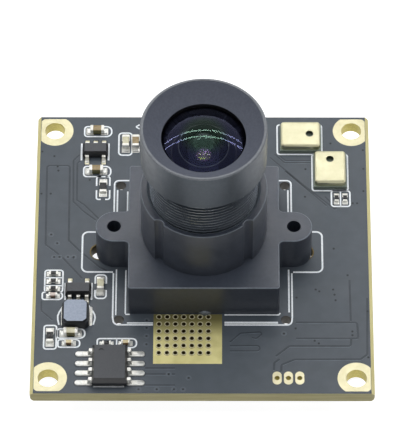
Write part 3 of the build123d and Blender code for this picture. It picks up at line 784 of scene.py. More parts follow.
@dataclass
class Frame:
    """The CAD nodes as the frame hands them over."""

    nodes: dict[str, Object]

    def dress(self, finish: Finish, *names: str) -> None:
        """Give CAD nodes a finish and leave their shape alone."""
        for name in names:
            slots = self.nodes[name].data.materials
            slots.clear()
            slots.append(finish.material())
            LOG.info("%s: dressed as %s", name, finish.name)

    def copied(self, node: str, name: str, slot: str, finish: Finish) -> Workpiece:
        """Start a piece of the board as a merged copy of a node.

        Args:
            node: the CAD node.
            name: the new piece's name.
            slot: its material slot.
            finish: what it wears all over.

        Returns:
            The piece, still open to changes.
        """
        piece = Workpiece(name, Body.BOARD, slot)
        with piece.in_finish(finish):
            piece.take_node(self.nodes[node])
        return piece

    def space_of(self, name: str) -> Space:
        """Give the space that a node takes, in millimetres."""
        low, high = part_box(name)
        return Space(low / METRES, high / METRES)


# The board


@dataclass
class CircuitBoard:
    """The board with its plating, heat pad and through holes."""

    frame: Frame
    via_radius: float = 0.13
    ring_radius: float = 0.34
    via_steps: int = 20
    skin: float = 0.012
    heat_pad_top: float = 1.55
    heat_hole_middle: Point2 = (-2.08, -11.26)
    heat_hole_columns: int = 7
    heat_hole_rows: int = 6
    heat_hole_pitch: Point2 = (0.915, 0.96)
    heat_hole_radius: float = 0.232
    heat_hole_steps: int = 16
    heat_rim_width: float = 0.11
    heat_lining_low: float = 0.9
    wall_below: float = 0.5
    ringed_vias: tuple[Point2, ...] = (
        (-17.1, 2.4), (-16.4, 1.2), (-16.7, -0.7), (-16.1, -0.7), (-15.15, -0.7), (-14.5, -0.7),
        (-6.2, -9.3), (-6.2, -10.3), (-6.2, -11.4), (-6.2, -12.5), (-3.7, -16.45), (-1.5, -16.95),
        (-7.0, -18.45), (-5.0, -18.45), (-3.1, -18.45), (-2.1, -18.45), (9.05, -11.05),
    )
    plain_vias: tuple[Point2, ...] = (
        (12.65, -5.1), (13.05, -5.35), (10.5, -6.2), (14.6, -5.1), (14.75, -5.8), (14.85, -6.55),
        (16.25, -3.15), (18.4, -8.05), (18.35, -14.2), (14.75, 0.5), (16.65, -10.75), (16.65, -11.25),
        (12.45, -12.0), (12.9, -12.35), (10.35, -10.35), (17.0, 6.8), (17.5, 6.8), (14.6, 15.25),
        (18.3, 14.3), (18.3, 11.65), (18.25, 8.5), (11.7, 11.6), (11.6, 7.7),
        (-18.4, 14.05), (-17.0, 13.4), (-16.6, 11.95), (-16.5, 11.35), (-18.35, 8.1), (-17.3, 8.1),
        (-12.9, 10.05),
    )

    def build(self) -> None:
        """Dress the board and its plating and lay the small holes on it."""
        self.frame.dress(SOLDER_MASK, "circuit_board")
        for which in ("corner_pads", "lead_pads"):
            piece = self.frame.copied(which, "plated_" + which, "gold_plate", IMMERSION_GOLD)
            piece.repaint(HOLE_GOLD, self.is_wall)
            piece.finish([which])
        self.frame.dress(DARK_BROWN_WALL, "screw_slot_linings")
        # The heat pad's gold turns darker towards the holder: painted shade.
        self.frame.dress(STAINED_AND_SHADED_GOLD, "heat_pad")
        self.lay_vias()
        self.lay_heat_pad_rims()

    def is_wall(self, _place: Vector, normal: Vector) -> bool:
        """Tell whether a face is the wall of a hole."""
        return abs(normal.z) < self.wall_below

    def lay_vias(self) -> None:
        """Lay each small hole as a thin disc darkened as painted shade, some of them with a pale ring."""
        piece = Workpiece("covered_vias", Body.BOARD, "solder_mask_board")
        top = BOARD_TOP + self.skin
        with piece.in_finish(MASKED_RIM):
            for centre in self.ringed_vias:
                piece.tube(self.via_radius, self.ring_radius, BOARD_TOP, top, centre, self.via_steps)
        # The dark discs are painted shade in the holes.
        with piece.in_finish(HOLE_SHADE_IN_MASK):
            for centre in self.ringed_vias + self.plain_vias:
                piece.tube(0.0, self.via_radius, BOARD_TOP, top, centre, self.via_steps)
        piece.finish()

    def lay_heat_pad_rims(self) -> None:
        """Lay a pale plated rim round each hole of the heat pad."""
        piece = Workpiece("heat_pad_rims", Body.BOARD, "gold_plate")
        (middle_x, middle_y), (pitch_x, pitch_y) = self.heat_hole_middle, self.heat_hole_pitch
        inner, outer = self.heat_hole_radius, self.heat_hole_radius + self.heat_rim_width
        low, top = self.heat_lining_low, self.heat_pad_top + self.skin
        with piece.in_finish(PLATED_RIM):
            for column in range(self.heat_hole_columns):
                for row in range(self.heat_hole_rows):
                    x = middle_x + (column - (self.heat_hole_columns - 1) / 2) * pitch_x
                    y = middle_y + (row - (self.heat_hole_rows - 1) / 2) * pitch_y
                    piece.tube(inner, outer, low, top, (x, y), self.heat_hole_steps)
        piece.repaint(DARK_BROWN_WALL, self.is_wall)
        piece.finish()


@dataclass
class EtchedGaps:
    """Gaps in the outer copper, which show as darker lines under the mask."""

    depth: float = 0.01
    lip: float = 0.07
    gaps: tuple[Line, ...] = (
        Line((
            (-13.5, -3.6), (-15.65, -0.9), (-16.65, 0.1), (-17.7, 1.0), (-17.8, 12.05), (-15.2, 12.05),
            (-15.1, 1.6), (-13.8, 0.1), (-11.55, -2.1), (-10.7, -2.6),
        ), 0.22),
        Line(((-14.1, 13.6), (-14.8, 12.8), (-14.7, 7.0), (-13.6, 5.7), (-12.1, 4.4)), 0.2),
        Line(((-13.6, 13.1), (-14.35, 12.4), (-14.3, 7.2), (-13.4, 6.5), (-11.7, 4.5)), 0.2),
        Line(((16.45, -3.8), (16.5, -9.35)), 0.22),
        Line(((10.4, -9.55), (17.2, -9.55), (17.3, -11.7), (10.4, -11.7)), 0.24),
        Line(((16.5, -11.8), (16.45, -12.7), (9.65, -12.7), (8.15, -14.05)), 0.24),
        Line(((8.55, -14.45), (7.95, -14.95), (7.9, -15.9)), 0.24),
        Line((
            (18.4, -6.25), (18.25, -13.8), (17.5, -14.45), (10.2, -14.5), (8.75, -15.2), (8.7, -16.1)
        ), 0.24),
        Line(((8.2, 13.7), (9.3, 12.5), (12.4, 12.5)), 0.16),
        Line(((8.5, 13.8), (9.4, 12.8), (12.4, 12.8)), 0.16),
        Line(((7.65, 13.25), (11.55, 9.25), (15.0, 5.95)), 0.18),
        Line(((9.4, 11.3), (14.05, 6.45)), 0.18),
        Line(((13.85, 7.75), (15.15, 6.05)), 0.18),
        Line(((3.06, -12.19), (4.24, -11.0), (6.95, -10.8), (6.01, -11.71), (5.5, -11.59)), 0.18, 0.25),
        Line(((3.06, -12.69), (6.36, -12.65), (6.36, -13.36), (3.06, -13.37)), 0.18, 0.35),
        Line(((-6.3, -15.65), (-3.0, -15.65)), 0.2),
        Line(((-6.3, -16.45), (-3.0, -16.45)), 0.2),
        Line(((-6.3, -17.9), (-3.0, -17.9)), 0.2),
        Line(((-17.98, -6.65), (-17.96, -8.0), (-16.7, -9.25)), 0.18),
    )

    def build(self) -> None:
        """Lay the gaps and, on the front side of each, the copper's edge as a painted highlight."""
        piece = Workpiece("etched_gaps", Body.BOARD, "solder_mask_board")
        with piece.in_finish(MASKED_GAP):
            for gap in self.gaps:
                piece.ribbon(gap)
            piece.thicken(self.depth)
        # A paler strip beside each gap: painted highlight on the copper's edge.
        with piece.in_finish(EDGE_HIGHLIGHT_IN_MASK):
            for gap in self.gaps:
                moved = tuple((x, y - gap.width / 2 - self.lip / 2) for x, y in gap.corners)
                piece.ribbon(Line(moved, self.lip, gap.radius))
            piece.thicken(self.depth / 2)
        piece.finish()


@dataclass
class PrintedLines:
    """White outlines printed on the mask round the parts."""

    thickness: float = 0.018
    lines: tuple[Line, ...] = (
        Line(((-11.0, 2.75), (-13.55, 2.75), (-13.55, -2.75), (-10.05, -2.75)), 0.2, 0.65),
        Line(((10.3, 2.8), (13.45, 2.8), (13.45, -2.75), (10.15, -2.75)), 0.2, 0.65),
        Line(((-9.7, 5.5), (-9.7, 8.6)), 0.18),
        Line(((-8.54, 5.5), (-8.54, 8.4)), 0.16),
        Line(((9.66, 5.5), (9.66, 8.6)), 0.18),
        Line(((-10.05, 2.9), (-10.05, 9.94), (10.02, 9.96), (10.02, 2.9)), 0.18, 0.5),
        Line(((-10.0, -2.9), (-10.0, -8.9), (-9.85, -9.9), (-5.5, -9.9)), 0.18, 0.7),
        Line(((10.0, -2.9), (10.0, -8.9), (9.9, -9.9), (2.45, -9.9)), 0.18, 0.7),
        Line(((-9.66, -2.4), (-9.66, -8.6)), 0.16),
        Line(((9.65, -2.4), (9.65, -8.2)), 0.18),
        Line(((-8.4, -9.65), (-5.5, -9.65)), 0.16),
        Line(((2.45, -9.6), (8.4, -9.6)), 0.26),
        Line(((-8.6, -8.5), (-8.1, -8.5)), 0.16),
        Line(((2.45, -8.55), (8.5, -8.55), (8.66, -8.3)), 0.16, 0.1),
        Line(((-8.6, -2.5), (-8.6, -8.4)), 0.16),
        box_line(8.5, 13.6, 13.67, 17.9),
        box_line(12.45, 16.5, 8.55, 13.67),
        box_line(14.6, 16.7, 6.35, 8.53),
        Line(((15.63, 6.35), (15.63, 8.53)), 0.16),
        box_line(-13.6, -10.5, 16.2, 17.62, 0.6),
        box_line(-13.6, -10.52, 10.5, 11.95, 0.6),
        Line(((-13.9, 12.8), (-13.9, 15.2)), 0.2),
        Line(((-10.8, 12.8), (-10.8, 15.2)), 0.2),
        Line(((-11.6, 10.5), (-12.1, 10.5), (-12.1, 9.2)), 0.18),
        Line(((-11.1, 10.5), (-10.6, 10.5), (-10.6, 9.2)), 0.18),
        Line(((-11.6, 7.3), (-12.1, 7.3), (-12.1, 8.6)), 0.18),
        Line(((-11.1, 7.3), (-10.6, 7.3), (-10.6, 8.6)), 0.18),
        box_line(-9.65, -8.15, 13.55, 16.7, 0.4),
        Line(((-7.3, 17.9), (-7.75, 17.6), (-7.3, 17.3)), 0.16, 0.1),
        box_line(-17.66, -15.65, -5.5, -2.52, 0.3),
        Line(((-17.66, -3.55), (-15.65, -3.55)), 0.16),
        Line(((-17.66, -4.63), (-15.65, -4.63)), 0.16),
        box_line(-17.9, -15.65, -6.5, -5.5, 0.45),
        Line(((-15.34, -6.55), (-15.34, -4.25)), 0.2),
        Line(((-12.4, -6.55), (-12.4, -4.25)), 0.2),
        Line(((-12.02, -4.35), (-12.02, -3.15), (-10.78, -3.15), (-10.78, -4.35)), 0.18, 0.4),
        Line(((-12.02, -5.2), (-12.02, -6.35), (-10.78, -6.35), (-10.78, -5.2)), 0.18, 0.4),
        Line(((-15.5, -7.3), (-16.2, -8.7), (-15.95, -9.9)), 0.18, 1.6),
        Line(((-12.7, -7.3), (-11.85, -8.7), (-12.15, -9.9)), 0.18, 1.6),
        box_line(-16.15, -13.05, -11.7, -10.45, 0.55),
        box_line(-16.0, -13.6, -12.9, -11.9, 0.4),
        box_line(-17.58, -16.2, -13.15, -10.0, 0.3),
        box_line(-11.65, -7.3, -12.95, -11.75, 0.5),
        Line(((-9.5, -12.95), (-9.5, -11.75)), 0.16),
        Line(((-12.0, -18.1), (-8.6, -18.1)), 0.18),
    )

    def build(self) -> None:
        """Print the lines."""
        piece = Workpiece("printed_lines", Body.BOARD, "solder_mask_board")
        with piece.in_finish(PRINTING_INK):
            for line in self.lines:
                piece.ribbon(line)
            piece.thicken(self.thickness)
        piece.finish()


# Holder and lens


def from_axis(place: Vector) -> float:
    """Measure how far a place is from the lens axis."""
    return math.hypot(place.x - AXIS_X, place.y)


@dataclass
class LensHolder:
    """The moulded box with its ears and tower, and the screws below."""

    frame: Frame
    foot: float = 3.0
    flattest: float = 0.96
    steepest: float = 0.22

    def build(self) -> None:
        """Copy the moulding with a painted highlight on its rounded edges and dress the screws."""
        piece = self.frame.copied("lens_holder", "moulded_lens_holder", "moulded_holder", MOULDED_HOLDER)
        # Faces of the rounded upper edges get a paler grey: painted highlight.
        piece.repaint(MOULDING_EDGE_HIGHLIGHT, self.is_edge)
        piece.finish(["lens_holder"])
        self.frame.dress(ZINC, "holder_screws")

    def is_edge(self, place: Vector, normal: Vector) -> bool:
        """Tell whether a face is part of a rounded upper edge."""
        return place.z > self.foot and self.steepest < normal.z < self.flattest


@dataclass
class LensBarrel:
    """The turned barrel with its cut thread and bores, and the ring in its front that is the mouth."""

    rear: float = 7.0
    front: float = 24.66
    thread_radius: float = 6.0
    thread_core: float = 5.68
    thread_pitch: float = 0.5
    thread_low: float = 7.4
    head_radius: float = 6.9
    head_low: float = 19.23
    rim_chamfer: float = 0.12
    lower_chamfer: float = 0.3
    rim_flat: float = 0.22
    mouth_radius: float = 4.62
    mouth_low: float = 23.01
    ring_radius: float = 6.54
    ring_seat: float = 21.1
    ring_break: float = 0.06
    pocket_radius: float = 5.22
    front_seat: float = 19.2
    middle_radius: float = 3.7
    middle_seat: float = 17.2
    stop_radius: float = 2.2
    stop_low: float = 16.4
    rear_radius: float = 4.0
    turn_steps: int = 48
    round_steps: int = 144
    rear_chamfer: Point2 = (0.1, 0.2)
    ridge_share: float = 0.45
    crest_share: float = 0.1
    ridge_root: float = 0.05
    runout: float = 0.5
    worn_depth: float = 0.03
    worn_below_head: float = 0.3
    mouth_land: float = 0.03
    rim_from: float = 0.2
    cone_from: float = 0.3

    def build(self) -> None:
        """Make the barrel and its front ring."""
        self.turn_barrel()
        self.turn_ring()

    def turn_barrel(self) -> None:
        """Turn the barrel, cut its thread, paint a highlight on its rim and paint its crests."""
        piece = Workpiece("turned_lens_barrel", Body.LENS, "black_anodised")
        rim = self.head_radius - self.rim_chamfer
        chamfer_in, chamfer_up = self.rear_chamfer
        with piece.in_finish(BLACK_ANODISED):
            piece.lathe([
                (self.rear_radius, self.rear), (self.thread_core - chamfer_in, self.rear),
                (self.thread_core, self.rear + chamfer_up), (self.thread_core, self.head_low),
                (self.head_radius - self.lower_chamfer, self.head_low),
                (self.head_radius, self.head_low + self.lower_chamfer),
                (self.head_radius, self.front - self.rim_chamfer), (rim, self.front),
                (rim - self.rim_flat, self.front), (rim - self.rim_flat, self.ring_seat),
                (self.pocket_radius, self.ring_seat), (self.pocket_radius, self.front_seat),
                (self.middle_radius, self.front_seat),
                (self.middle_radius, self.middle_seat), (self.stop_radius, self.middle_seat),
                (self.stop_radius, self.stop_low), (self.rear_radius, self.stop_low),
            ], self.round_steps)
            self.cut_thread(piece)
        # The rim's upward faces get a paler grey: painted highlight.
        piece.repaint(TURNED_RIM_HIGHLIGHT, self.is_rim)
        piece.repaint(WORN_CREST, self.is_crest)
        piece.finish(["lens_barrel"])

    def is_rim(self, place: Vector, normal: Vector) -> bool:
        """Tell whether a face is part of the head's front rim."""
        return place.z > self.front - self.rim_chamfer and normal.z > self.rim_from

    def is_crest(self, place: Vector, _normal: Vector) -> bool:
        """Tell whether a face is part of the thread's crest."""
        below_head = place.z < self.head_low - self.worn_below_head
        return below_head and from_axis(place) > self.thread_radius - self.worn_depth

    def cut_thread(self, piece: Workpiece) -> None:
        """Wind a ridge of the thread's section round the core."""
        turns = math.floor((self.head_low - self.runout - self.thread_low) / self.thread_pitch)
        root = self.thread_core - self.ridge_root
        half, crest = self.ridge_share * self.thread_pitch, self.crest_share * self.thread_pitch
        section = [(root, -half), (self.thread_radius, -crest), (self.thread_radius, crest), (root, half)]
        verts = [
            piece.mesh.verts.new((AXIS_X + radius, 0.0, self.thread_low + rise)) for radius, rise in section
        ]
        edges = [piece.mesh.edges.new(pair) for pair in zip(verts, verts[1:] + verts[:1])]
        last = bmesh.ops.spin(
            piece.mesh, geom=verts + edges, cent=(AXIS_X, 0.0, 0.0), axis=UP,
            dvec=UP * self.thread_pitch / self.turn_steps,
            angle=2 * math.pi * turns, steps=self.turn_steps * turns, use_merge=False,
        )["geom_last"]
        bmesh.ops.holes_fill(piece.mesh, edges=edges + only(last, BMEdge), sides=len(section))

    def turn_ring(self) -> None:
        """Turn the front ring: a matt cone over a short bore darkened with painted shade."""
        piece = Workpiece("turned_front_ring", Body.LENS, "black_anodised")
        with piece.in_finish(MATT_MOUTH):
            piece.lathe([
                (self.mouth_radius, self.ring_seat), (self.ring_radius, self.ring_seat),
                (self.ring_radius, self.front - self.ring_break),
                (self.ring_radius - self.ring_break, self.front - self.ring_break),
                (self.mouth_radius + self.ring_break, self.mouth_low),
                (self.mouth_radius, self.mouth_low - self.mouth_land),
            ], self.round_steps)
        # The bore wall and the faces below the cone take the near black as painted shade.
        piece.repaint(BLACK_RING_AND_BORE_SHADE, lambda _place, normal: normal.z < self.cone_from)
        piece.finish(["front_retaining_ring"])


@dataclass
class LensGlasses:
    """The glasses, rings and filter inside the barrel, and the sensor below them.

    The second glass's dome and hollow are given by radius, rise and rim.
    """

    frame: Frame
    steps: int = 96
    dome_steps: int = 20
    front_seat: float = 19.2
    flange_top: float = 21.1
    flange_radius: float = 5.2
    dome_rim: float = 22.6
    dome_radius: float = 4.6
    dome_rise: float = 1.2
    hollow_mouth: float = 2.9
    hollow_radius: float = 2.35
    hollow_rim: float = 20.6
    hollow_rise: float = 2.0
    ground_width: float = 0.08
    second_dome: Point3 = (3.0, 0.55, 18.5)
    second_hollow: Point3 = (2.2, 0.25, 17.2)
    second_radius: float = 3.68
    sharp: float = 25.0

    def build(self) -> None:
        """Turn the two front glasses smoothly and dress the rest."""
        self.turn_front_glass()
        self.turn_second_glass()
        self.frame.dress(REAR_GLASS, "third_lens", "rear_lens")
        self.frame.dress(FILTER_GLASS, "infrared_filter")
        self.frame.dress(BLACK_RING_AND_BORE_SHADE, "lens_spacer", "aperture_ring", "rear_spacer", "rear_retaining_ring")
        self.frame.dress(SENSOR_CERAMIC, "sensor_package")
        # The die's colours are a painted reflection, fixed by place.
        self.frame.dress(SILICON, "sensor_die")
        self.frame.dress(COVER_GLASS, "sensor_glass")

    def turn_front_glass(self) -> None:
        """Turn the front glass: a dome on a neck over a deep hollow, black wherever no light should pass."""
        piece = Workpiece("domed_front_lens", Body.LENS, "coated_glass")
        ground = self.hollow_rim - self.ground_width
        with piece.in_finish(FRONT_GLASS):
            piece.lathe(
                cap_points(self.dome_radius, self.dome_rise, self.dome_rim, self.dome_steps)
                + cap_points(self.hollow_radius, self.hollow_rise, self.hollow_rim)[::-1]
                + [
                    (self.hollow_radius + self.ground_width, ground),
                    (self.hollow_mouth, self.front_seat), (self.flange_radius, self.front_seat),
                    (self.flange_radius, self.flange_top), (self.dome_radius, self.flange_top),
                ],
                self.steps,
            )
        piece.repaint(GROUND_GLASS, lambda place, normal: ground < place.z < self.hollow_rim and normal.z < 0)
        piece.repaint(EDGE_LACQUER, self.is_blackened)
        piece.finish(["front_lens"], self.sharp)

    def is_blackened(self, place: Vector, _normal: Vector) -> bool:
        """Tell whether a face of the front glass is its wall, its back or the flare of its hollow."""
        wall = from_axis(place) > self.hollow_mouth and place.z < self.dome_rim
        return wall or place.z < self.hollow_rim - self.ground_width

    def turn_second_glass(self) -> None:
        """Turn the second glass: a low dome over a shallow hollow."""
        piece = Workpiece("domed_second_lens", Body.LENS, "coated_glass")
        edge = [(self.second_radius, level) for level in (self.second_hollow[2], self.second_dome[2])]
        with piece.in_finish(INNER_GLASS):
            piece.lathe(
                cap_points(*self.second_dome) + cap_points(*self.second_hollow)[::-1] + edge, self.steps
            )
        piece.finish(["second_lens"], self.sharp)


# Parts on the board


@dataclass
class Microphones:
    """Two gold-plated cans on their laminate bases."""

    frame: Frame
    corner_radius: float = 0.35
    pressed_edge: float = 0.1
    soft_inward: float = 0.3
    soft_down: float = 0.24
    slack: float = 0.01

    def build(self) -> None:
        """Draw the cans and dress their bases."""
        for which in ("upper", "lower"):
            self.draw_can(which + "_microphone_can", "drawn_" + which + "_can")
        self.frame.dress(BARE_LAMINATE, "upper_microphone_base", "lower_microphone_base")

    def draw_can(self, node: str, name: str) -> None:
        """Copy a can and soften its upper edge as the drawing die leaves it.

        Args:
            node: the CAD can.
            name: the new piece's name.
        """
        piece = self.frame.copied(node, name, "gold_can", GOLD_CAN)
        space = self.frame.space_of(node)
        middle, half = space.middle, space.size / 2
        for vert in piece.mesh.verts:
            offset = vert.co - middle
            past = Vector([
                math.copysign(max(abs(offset[axis]) - half[axis] + self.corner_radius, 0.0), offset[axis])
                for axis in (0, 1)
            ])
            rise = (vert.co.z - space.high.z + self.pressed_edge) / self.pressed_edge
            inside = self.corner_radius - past.length
            if rise < -self.slack or past.length < self.slack or inside > self.pressed_edge + self.slack:
                continue
            angle = math.asin(min(max(rise, 0.0), 1.0))
            inward = (self.soft_inward - self.pressed_edge) * (1 - math.cos(angle))
            drop = (self.soft_down - self.pressed_edge) * (1 - math.sin(angle))
            vert.co -= (past.normalized() * inward).to_3d() + UP * drop
        piece.finish([node])


@dataclass
class LeadedChip:
    """A moulded chip: its body, its leads, and the pads and solder below their feet.

    The feet are given by their middles. A pad reaches past its foot on the
    outer side and is a margin wider all round.
    """

    frame: Frame
    name: str
    feet: tuple[Point2, ...]
    pad_reach: float
    axis: int = 1
    foot_width: float = 0.4
    foot_length: float = 0.6
    pad_finish: Finish = LEAD_GOLD
    pad_rounding: float = 0.15
    pad_height: float = 0.04
    pad_margin: float = 0.05
    pad_dome_share: float = 0.6
    solder_height: float = 0.13
    solder_share: float = 0.6
    solder_step: float = 0.05
    solder_bevel: float = 0.03
    solder_taper: float = 0.06
    top_lean: float = 0.14
    top_depth: float = 0.2
    side_below: float = 0.9
    mask_opening: float = 0.08
    mask_step: float = 0.01
    mask_dome_share: float = 0.2

    def build(self) -> None:
        """Make the body, dress the leads and lay the pads and solder."""
        self.mould_body()
        self.frame.dress(MATT_TIN, self.name + "_leads")
        piece = Workpiece(self.name + "_solder", Body.BOARD, "tinned_metal")
        middle = sum(foot[self.axis] for foot in self.feet) / len(self.feet)
        for foot in self.feet:
            self.solder_foot(piece, foot, foot[self.axis] > middle)
        piece.finish()

    def mould_body(self) -> None:
        """Copy the body, lean its sides in a little more and paint them darker than its top, as painted
        shade.
        """
        node = self.name + "_body"
        piece = self.frame.copied(node, "moulded_" + self.name, "moulded_resin", MOULDED_RESIN)
        space = self.frame.space_of(node)
        size = space.size
        share = (1 - 2 * self.top_lean / size.x, 1 - 2 * self.top_lean / size.y, 1.0)
        top = [vert for vert in piece.mesh.verts if vert.co.z > space.high.z - self.top_depth]
        bmesh.ops.scale(piece.mesh, vec=share, space=Matrix.Translation(-space.middle), verts=top)
        # Upright faces get the near black: painted shade.
        piece.repaint(RESIN_SHADED_SIDE, lambda _place, normal: abs(normal.z) < self.side_below)
        piece.finish([node])

    def solder_foot(self, piece: Workpiece, foot: Point2, far: bool) -> None:
        """Lay a foot's pad in its opening of the mask, with solder on it.

        Args:
            piece: the chip's solder in the making.
            foot: the middle of the foot.
            far: whether the foot is on the far side of its axis.
        """
        middle = Vector((*foot, BOARD_TOP))
        across = self.foot_width / 2 + self.pad_margin
        strip = Space(middle, middle).grown(1 - self.axis, across)
        pad = strip.grown(self.axis, self.foot_length / 2).on_board(self.pad_height)
        pad = pad.lengthened(self.axis, far, self.pad_reach, self.pad_margin)
        opening = pad.grown(0, self.mask_opening).grown(1, self.mask_opening).on_board(self.mask_step)
        solder = strip.grown(self.axis, self.solder_share * self.foot_length)
        solder = solder.grown(1 - self.axis, -self.solder_step).on_board(self.solder_height)
        with piece.in_finish(MASKED_GAP):
            piece.pill(opening, self.mask_dome_share * self.mask_step, self.pad_rounding)
        with piece.in_finish(self.pad_finish):
            piece.pill(pad, self.pad_dome_share * self.pad_height, self.pad_rounding)
        with piece.in_finish(SOLDER):
            piece.block(solder, self.solder_bevel, self.solder_taper)


class ChipKind(Enum):
    """What a small two-ended part is, with its material slot."""

    CAPACITOR = "capacitor_ceramic"
    RESISTOR = "resistor_ceramic"


@dataclass
class ChipPart:
    """A small two-ended part on its pads, made in the space of its CAD node.

    The shares are of the part's length, that of the mound of its height.
    """

    frame: Frame
    node: str
    kind: ChipKind
    finish: Finish
    side_shade_finish: Finish
    top_from: float = 0.6
    terminal_share: float = 0.22
    terminal_bevel: float = 0.06
    core_inset: float = 0.03
    core_lift: float = 0.02
    core_bevel: float = 0.04
    glaze_depths: Point2 = (0.1, 0.01)
    glaze_bevel: float = 0.02
    pad_height: float = 0.03
    pad_margin: float = 0.05
    pad_bevel: float = 0.012
    overhang_share: float = 0.28
    mound_step: float = 0.06
    mound_share: float = 0.22
    mound_bevel: float = 0.03
    mound_taper: float = 0.08

    def build(self) -> None:
        """Make the block, its plated ends, the pads and the solder on them."""
        space = self.frame.space_of(self.node)
        axis = 0 if space.size.x > space.size.y else 1
        half_terminal = self.terminal_share * space.size[axis] / 2
        core = space.grown(axis, -half_terminal).grown(1 - axis, -self.core_inset)
        core = core.grown(2, -self.core_lift, -self.core_inset)
        piece = Workpiece(self.node + "_on_pads", Body.BOARD, self.kind.value)
        with piece.in_finish(self.finish):
            piece.block(core, self.core_bevel)
        # The sides take a darker finish: painted shade.
        piece.repaint(self.side_shade_finish, lambda _place, normal: normal.z < self.top_from)
        if self.kind is ChipKind.RESISTOR:
            low, high = (space.high.z - depth for depth in self.glaze_depths)
            with piece.in_finish(RESISTOR_GLAZE):
                piece.block(core.grown(axis, -half_terminal).between(low, high), self.glaze_bevel)
        for far in (False, True):
            self.add_end(piece, space, axis, far)
        piece.finish([self.node])

    def add_end(self, piece: Workpiece, space: Space, axis: int, far: bool) -> None:
        """Add one plated end with its solder and pad.

        Args:
            piece: the part in the making.
            space: the CAD node's space.
            axis: 0 where the part lies along X, 1 along Y.
            far: whether it is the end with the higher place.
        """
        length = space.size[axis]
        terminal = space.lengthened(axis, far, 0.0, (self.terminal_share - 1) * length)
        pad = terminal.grown(1 - axis, self.pad_margin).on_board(self.pad_height)
        pad = pad.lengthened(axis, far, self.overhang_share * length, self.pad_margin)
        mound = pad.grown(0, -self.mound_step).grown(1, -self.mound_step)
        mound = mound.on_board(self.mound_share * (space.high.z - BOARD_TOP))
        with piece.in_finish(MATT_TIN):
            piece.block(terminal, self.terminal_bevel)
            piece.block(pad, self.pad_bevel)
        with piece.in_finish(SOLDER):
            piece.block(mound, self.mound_bevel, self.mound_taper)


@dataclass
class PowerParts:
    """The inductor on its pads, and the glue drop at the holder's foot."""

    frame: Frame
    sheen_top_from: float = 0.5
    pads: tuple[tuple[Point2, Point2], ...] = (
        ((-15.72, -10.05), (-15.35, -7.4)), ((-12.62, -10.05), (-12.25, -7.5))
    )
    pad_height: float = 0.05
    pad_dome: float = 0.02
    glue_middle: Point3 = (0.28, -8.25, 1.5)
    glue_size: Point3 = (0.74, 0.42, 0.62)
    glue_subdivisions: int = 4

    def build(self) -> None:
        """Dress the inductor and the glue."""
        core = self.frame.copied("inductor_core", "inductor_core_sheen_and_shade", "ferrite", FERRITE_SHADED_SIDE)
        # Upward faces get the paler ferrite, partly painted sheen; the rest keeps the painted shade.
        core.repaint(FERRITE, lambda _place, normal: normal.z > self.sheen_top_from)
        core.finish(["inductor_core"])
        pads = Workpiece("inductor_pads", Body.BOARD, "tinned_metal")
        with pads.in_finish(MATT_TIN):
            for low, high in self.pads:
                space = Space(Vector((*low, 0.0)), Vector((*high, 0.0))).on_board(self.pad_height)
                pads.pill(space, self.pad_dome)
        pads.finish()
        self.frame.dress(WINDING_RESIN, "inductor_winding")
        self.frame.dress(MATT_TIN, "inductor_terminals")
        self.press_glue()

    def press_glue(self) -> None:
        """Press the drop of glue flat against the board and the holder's foot."""
        piece = Workpiece("pressed_glue_drop", Body.BOARD, "clear_glue")
        mesh, middle = piece.mesh, Vector(self.glue_middle)
        place = Matrix.Translation(middle) @ Matrix.Diagonal((*self.glue_size, 1.0))
        with piece.in_finish(SILICONE_GLUE):
            bmesh.ops.create_icosphere(mesh, subdivisions=self.glue_subdivisions, radius=1.0, matrix=place)
            for normal in (-UP, Vector((0.0, 1.0, 0.0))):
                cut = bmesh.ops.bisect_plane(
                    mesh, geom=mesh.verts[:] + mesh.edges[:] + mesh.faces[:],
                    plane_co=middle, plane_no=normal, clear_outer=True,
                )["geom_cut"]
                bmesh.ops.holes_fill(mesh, edges=only(cut, BMEdge), sides=0)
        piece.finish(["glue_drop"])


@dataclass
class Underside:
    """What is soldered below the board."""

    frame: Frame

    def build(self) -> None:
        """Dress the controller, the crystal and the connector."""
        self.frame.dress(MOULDED_RESIN, "controller_body")
        self.frame.dress(MATT_TIN, "controller_leads", "connector_pins", "connector_tabs")
        self.frame.dress(NICKEL, "crystal_can")
        self.frame.dress(NYLON, "connector_housing")


# Light, floor and camera


@dataclass(frozen=True)
class Lamp:
    """A flat soft lamp: where it hangs and what it points at in metres, its size and its brightness."""

    name: str
    place: Point3
    aim: Point3
    width: float
    length: float
    radiance: float
    mirrored: bool = True

    def hang(self) -> None:
        """Hang the lamp; its power is what gives the brightness at its size."""
        light = bpy.data.lights.new(self.name, "AREA")
        light.shape = "RECTANGLE"
        light.size, light.size_y = self.width, self.length
        light.energy = math.pi * self.width * self.length * self.radiance
        lamp = bpy.data.objects.new(self.name, light)
        lamp.location = self.place
        lamp.rotation_euler = (Vector(self.aim) - Vector(self.place)).to_track_quat("-Z", "Y").to_euler()
        lamp.visible_glossy = lamp.visible_transmission = self.mirrored
        bpy.context.scene.collection.objects.link(lamp)
        LOG.info("lamp %s", self.name)


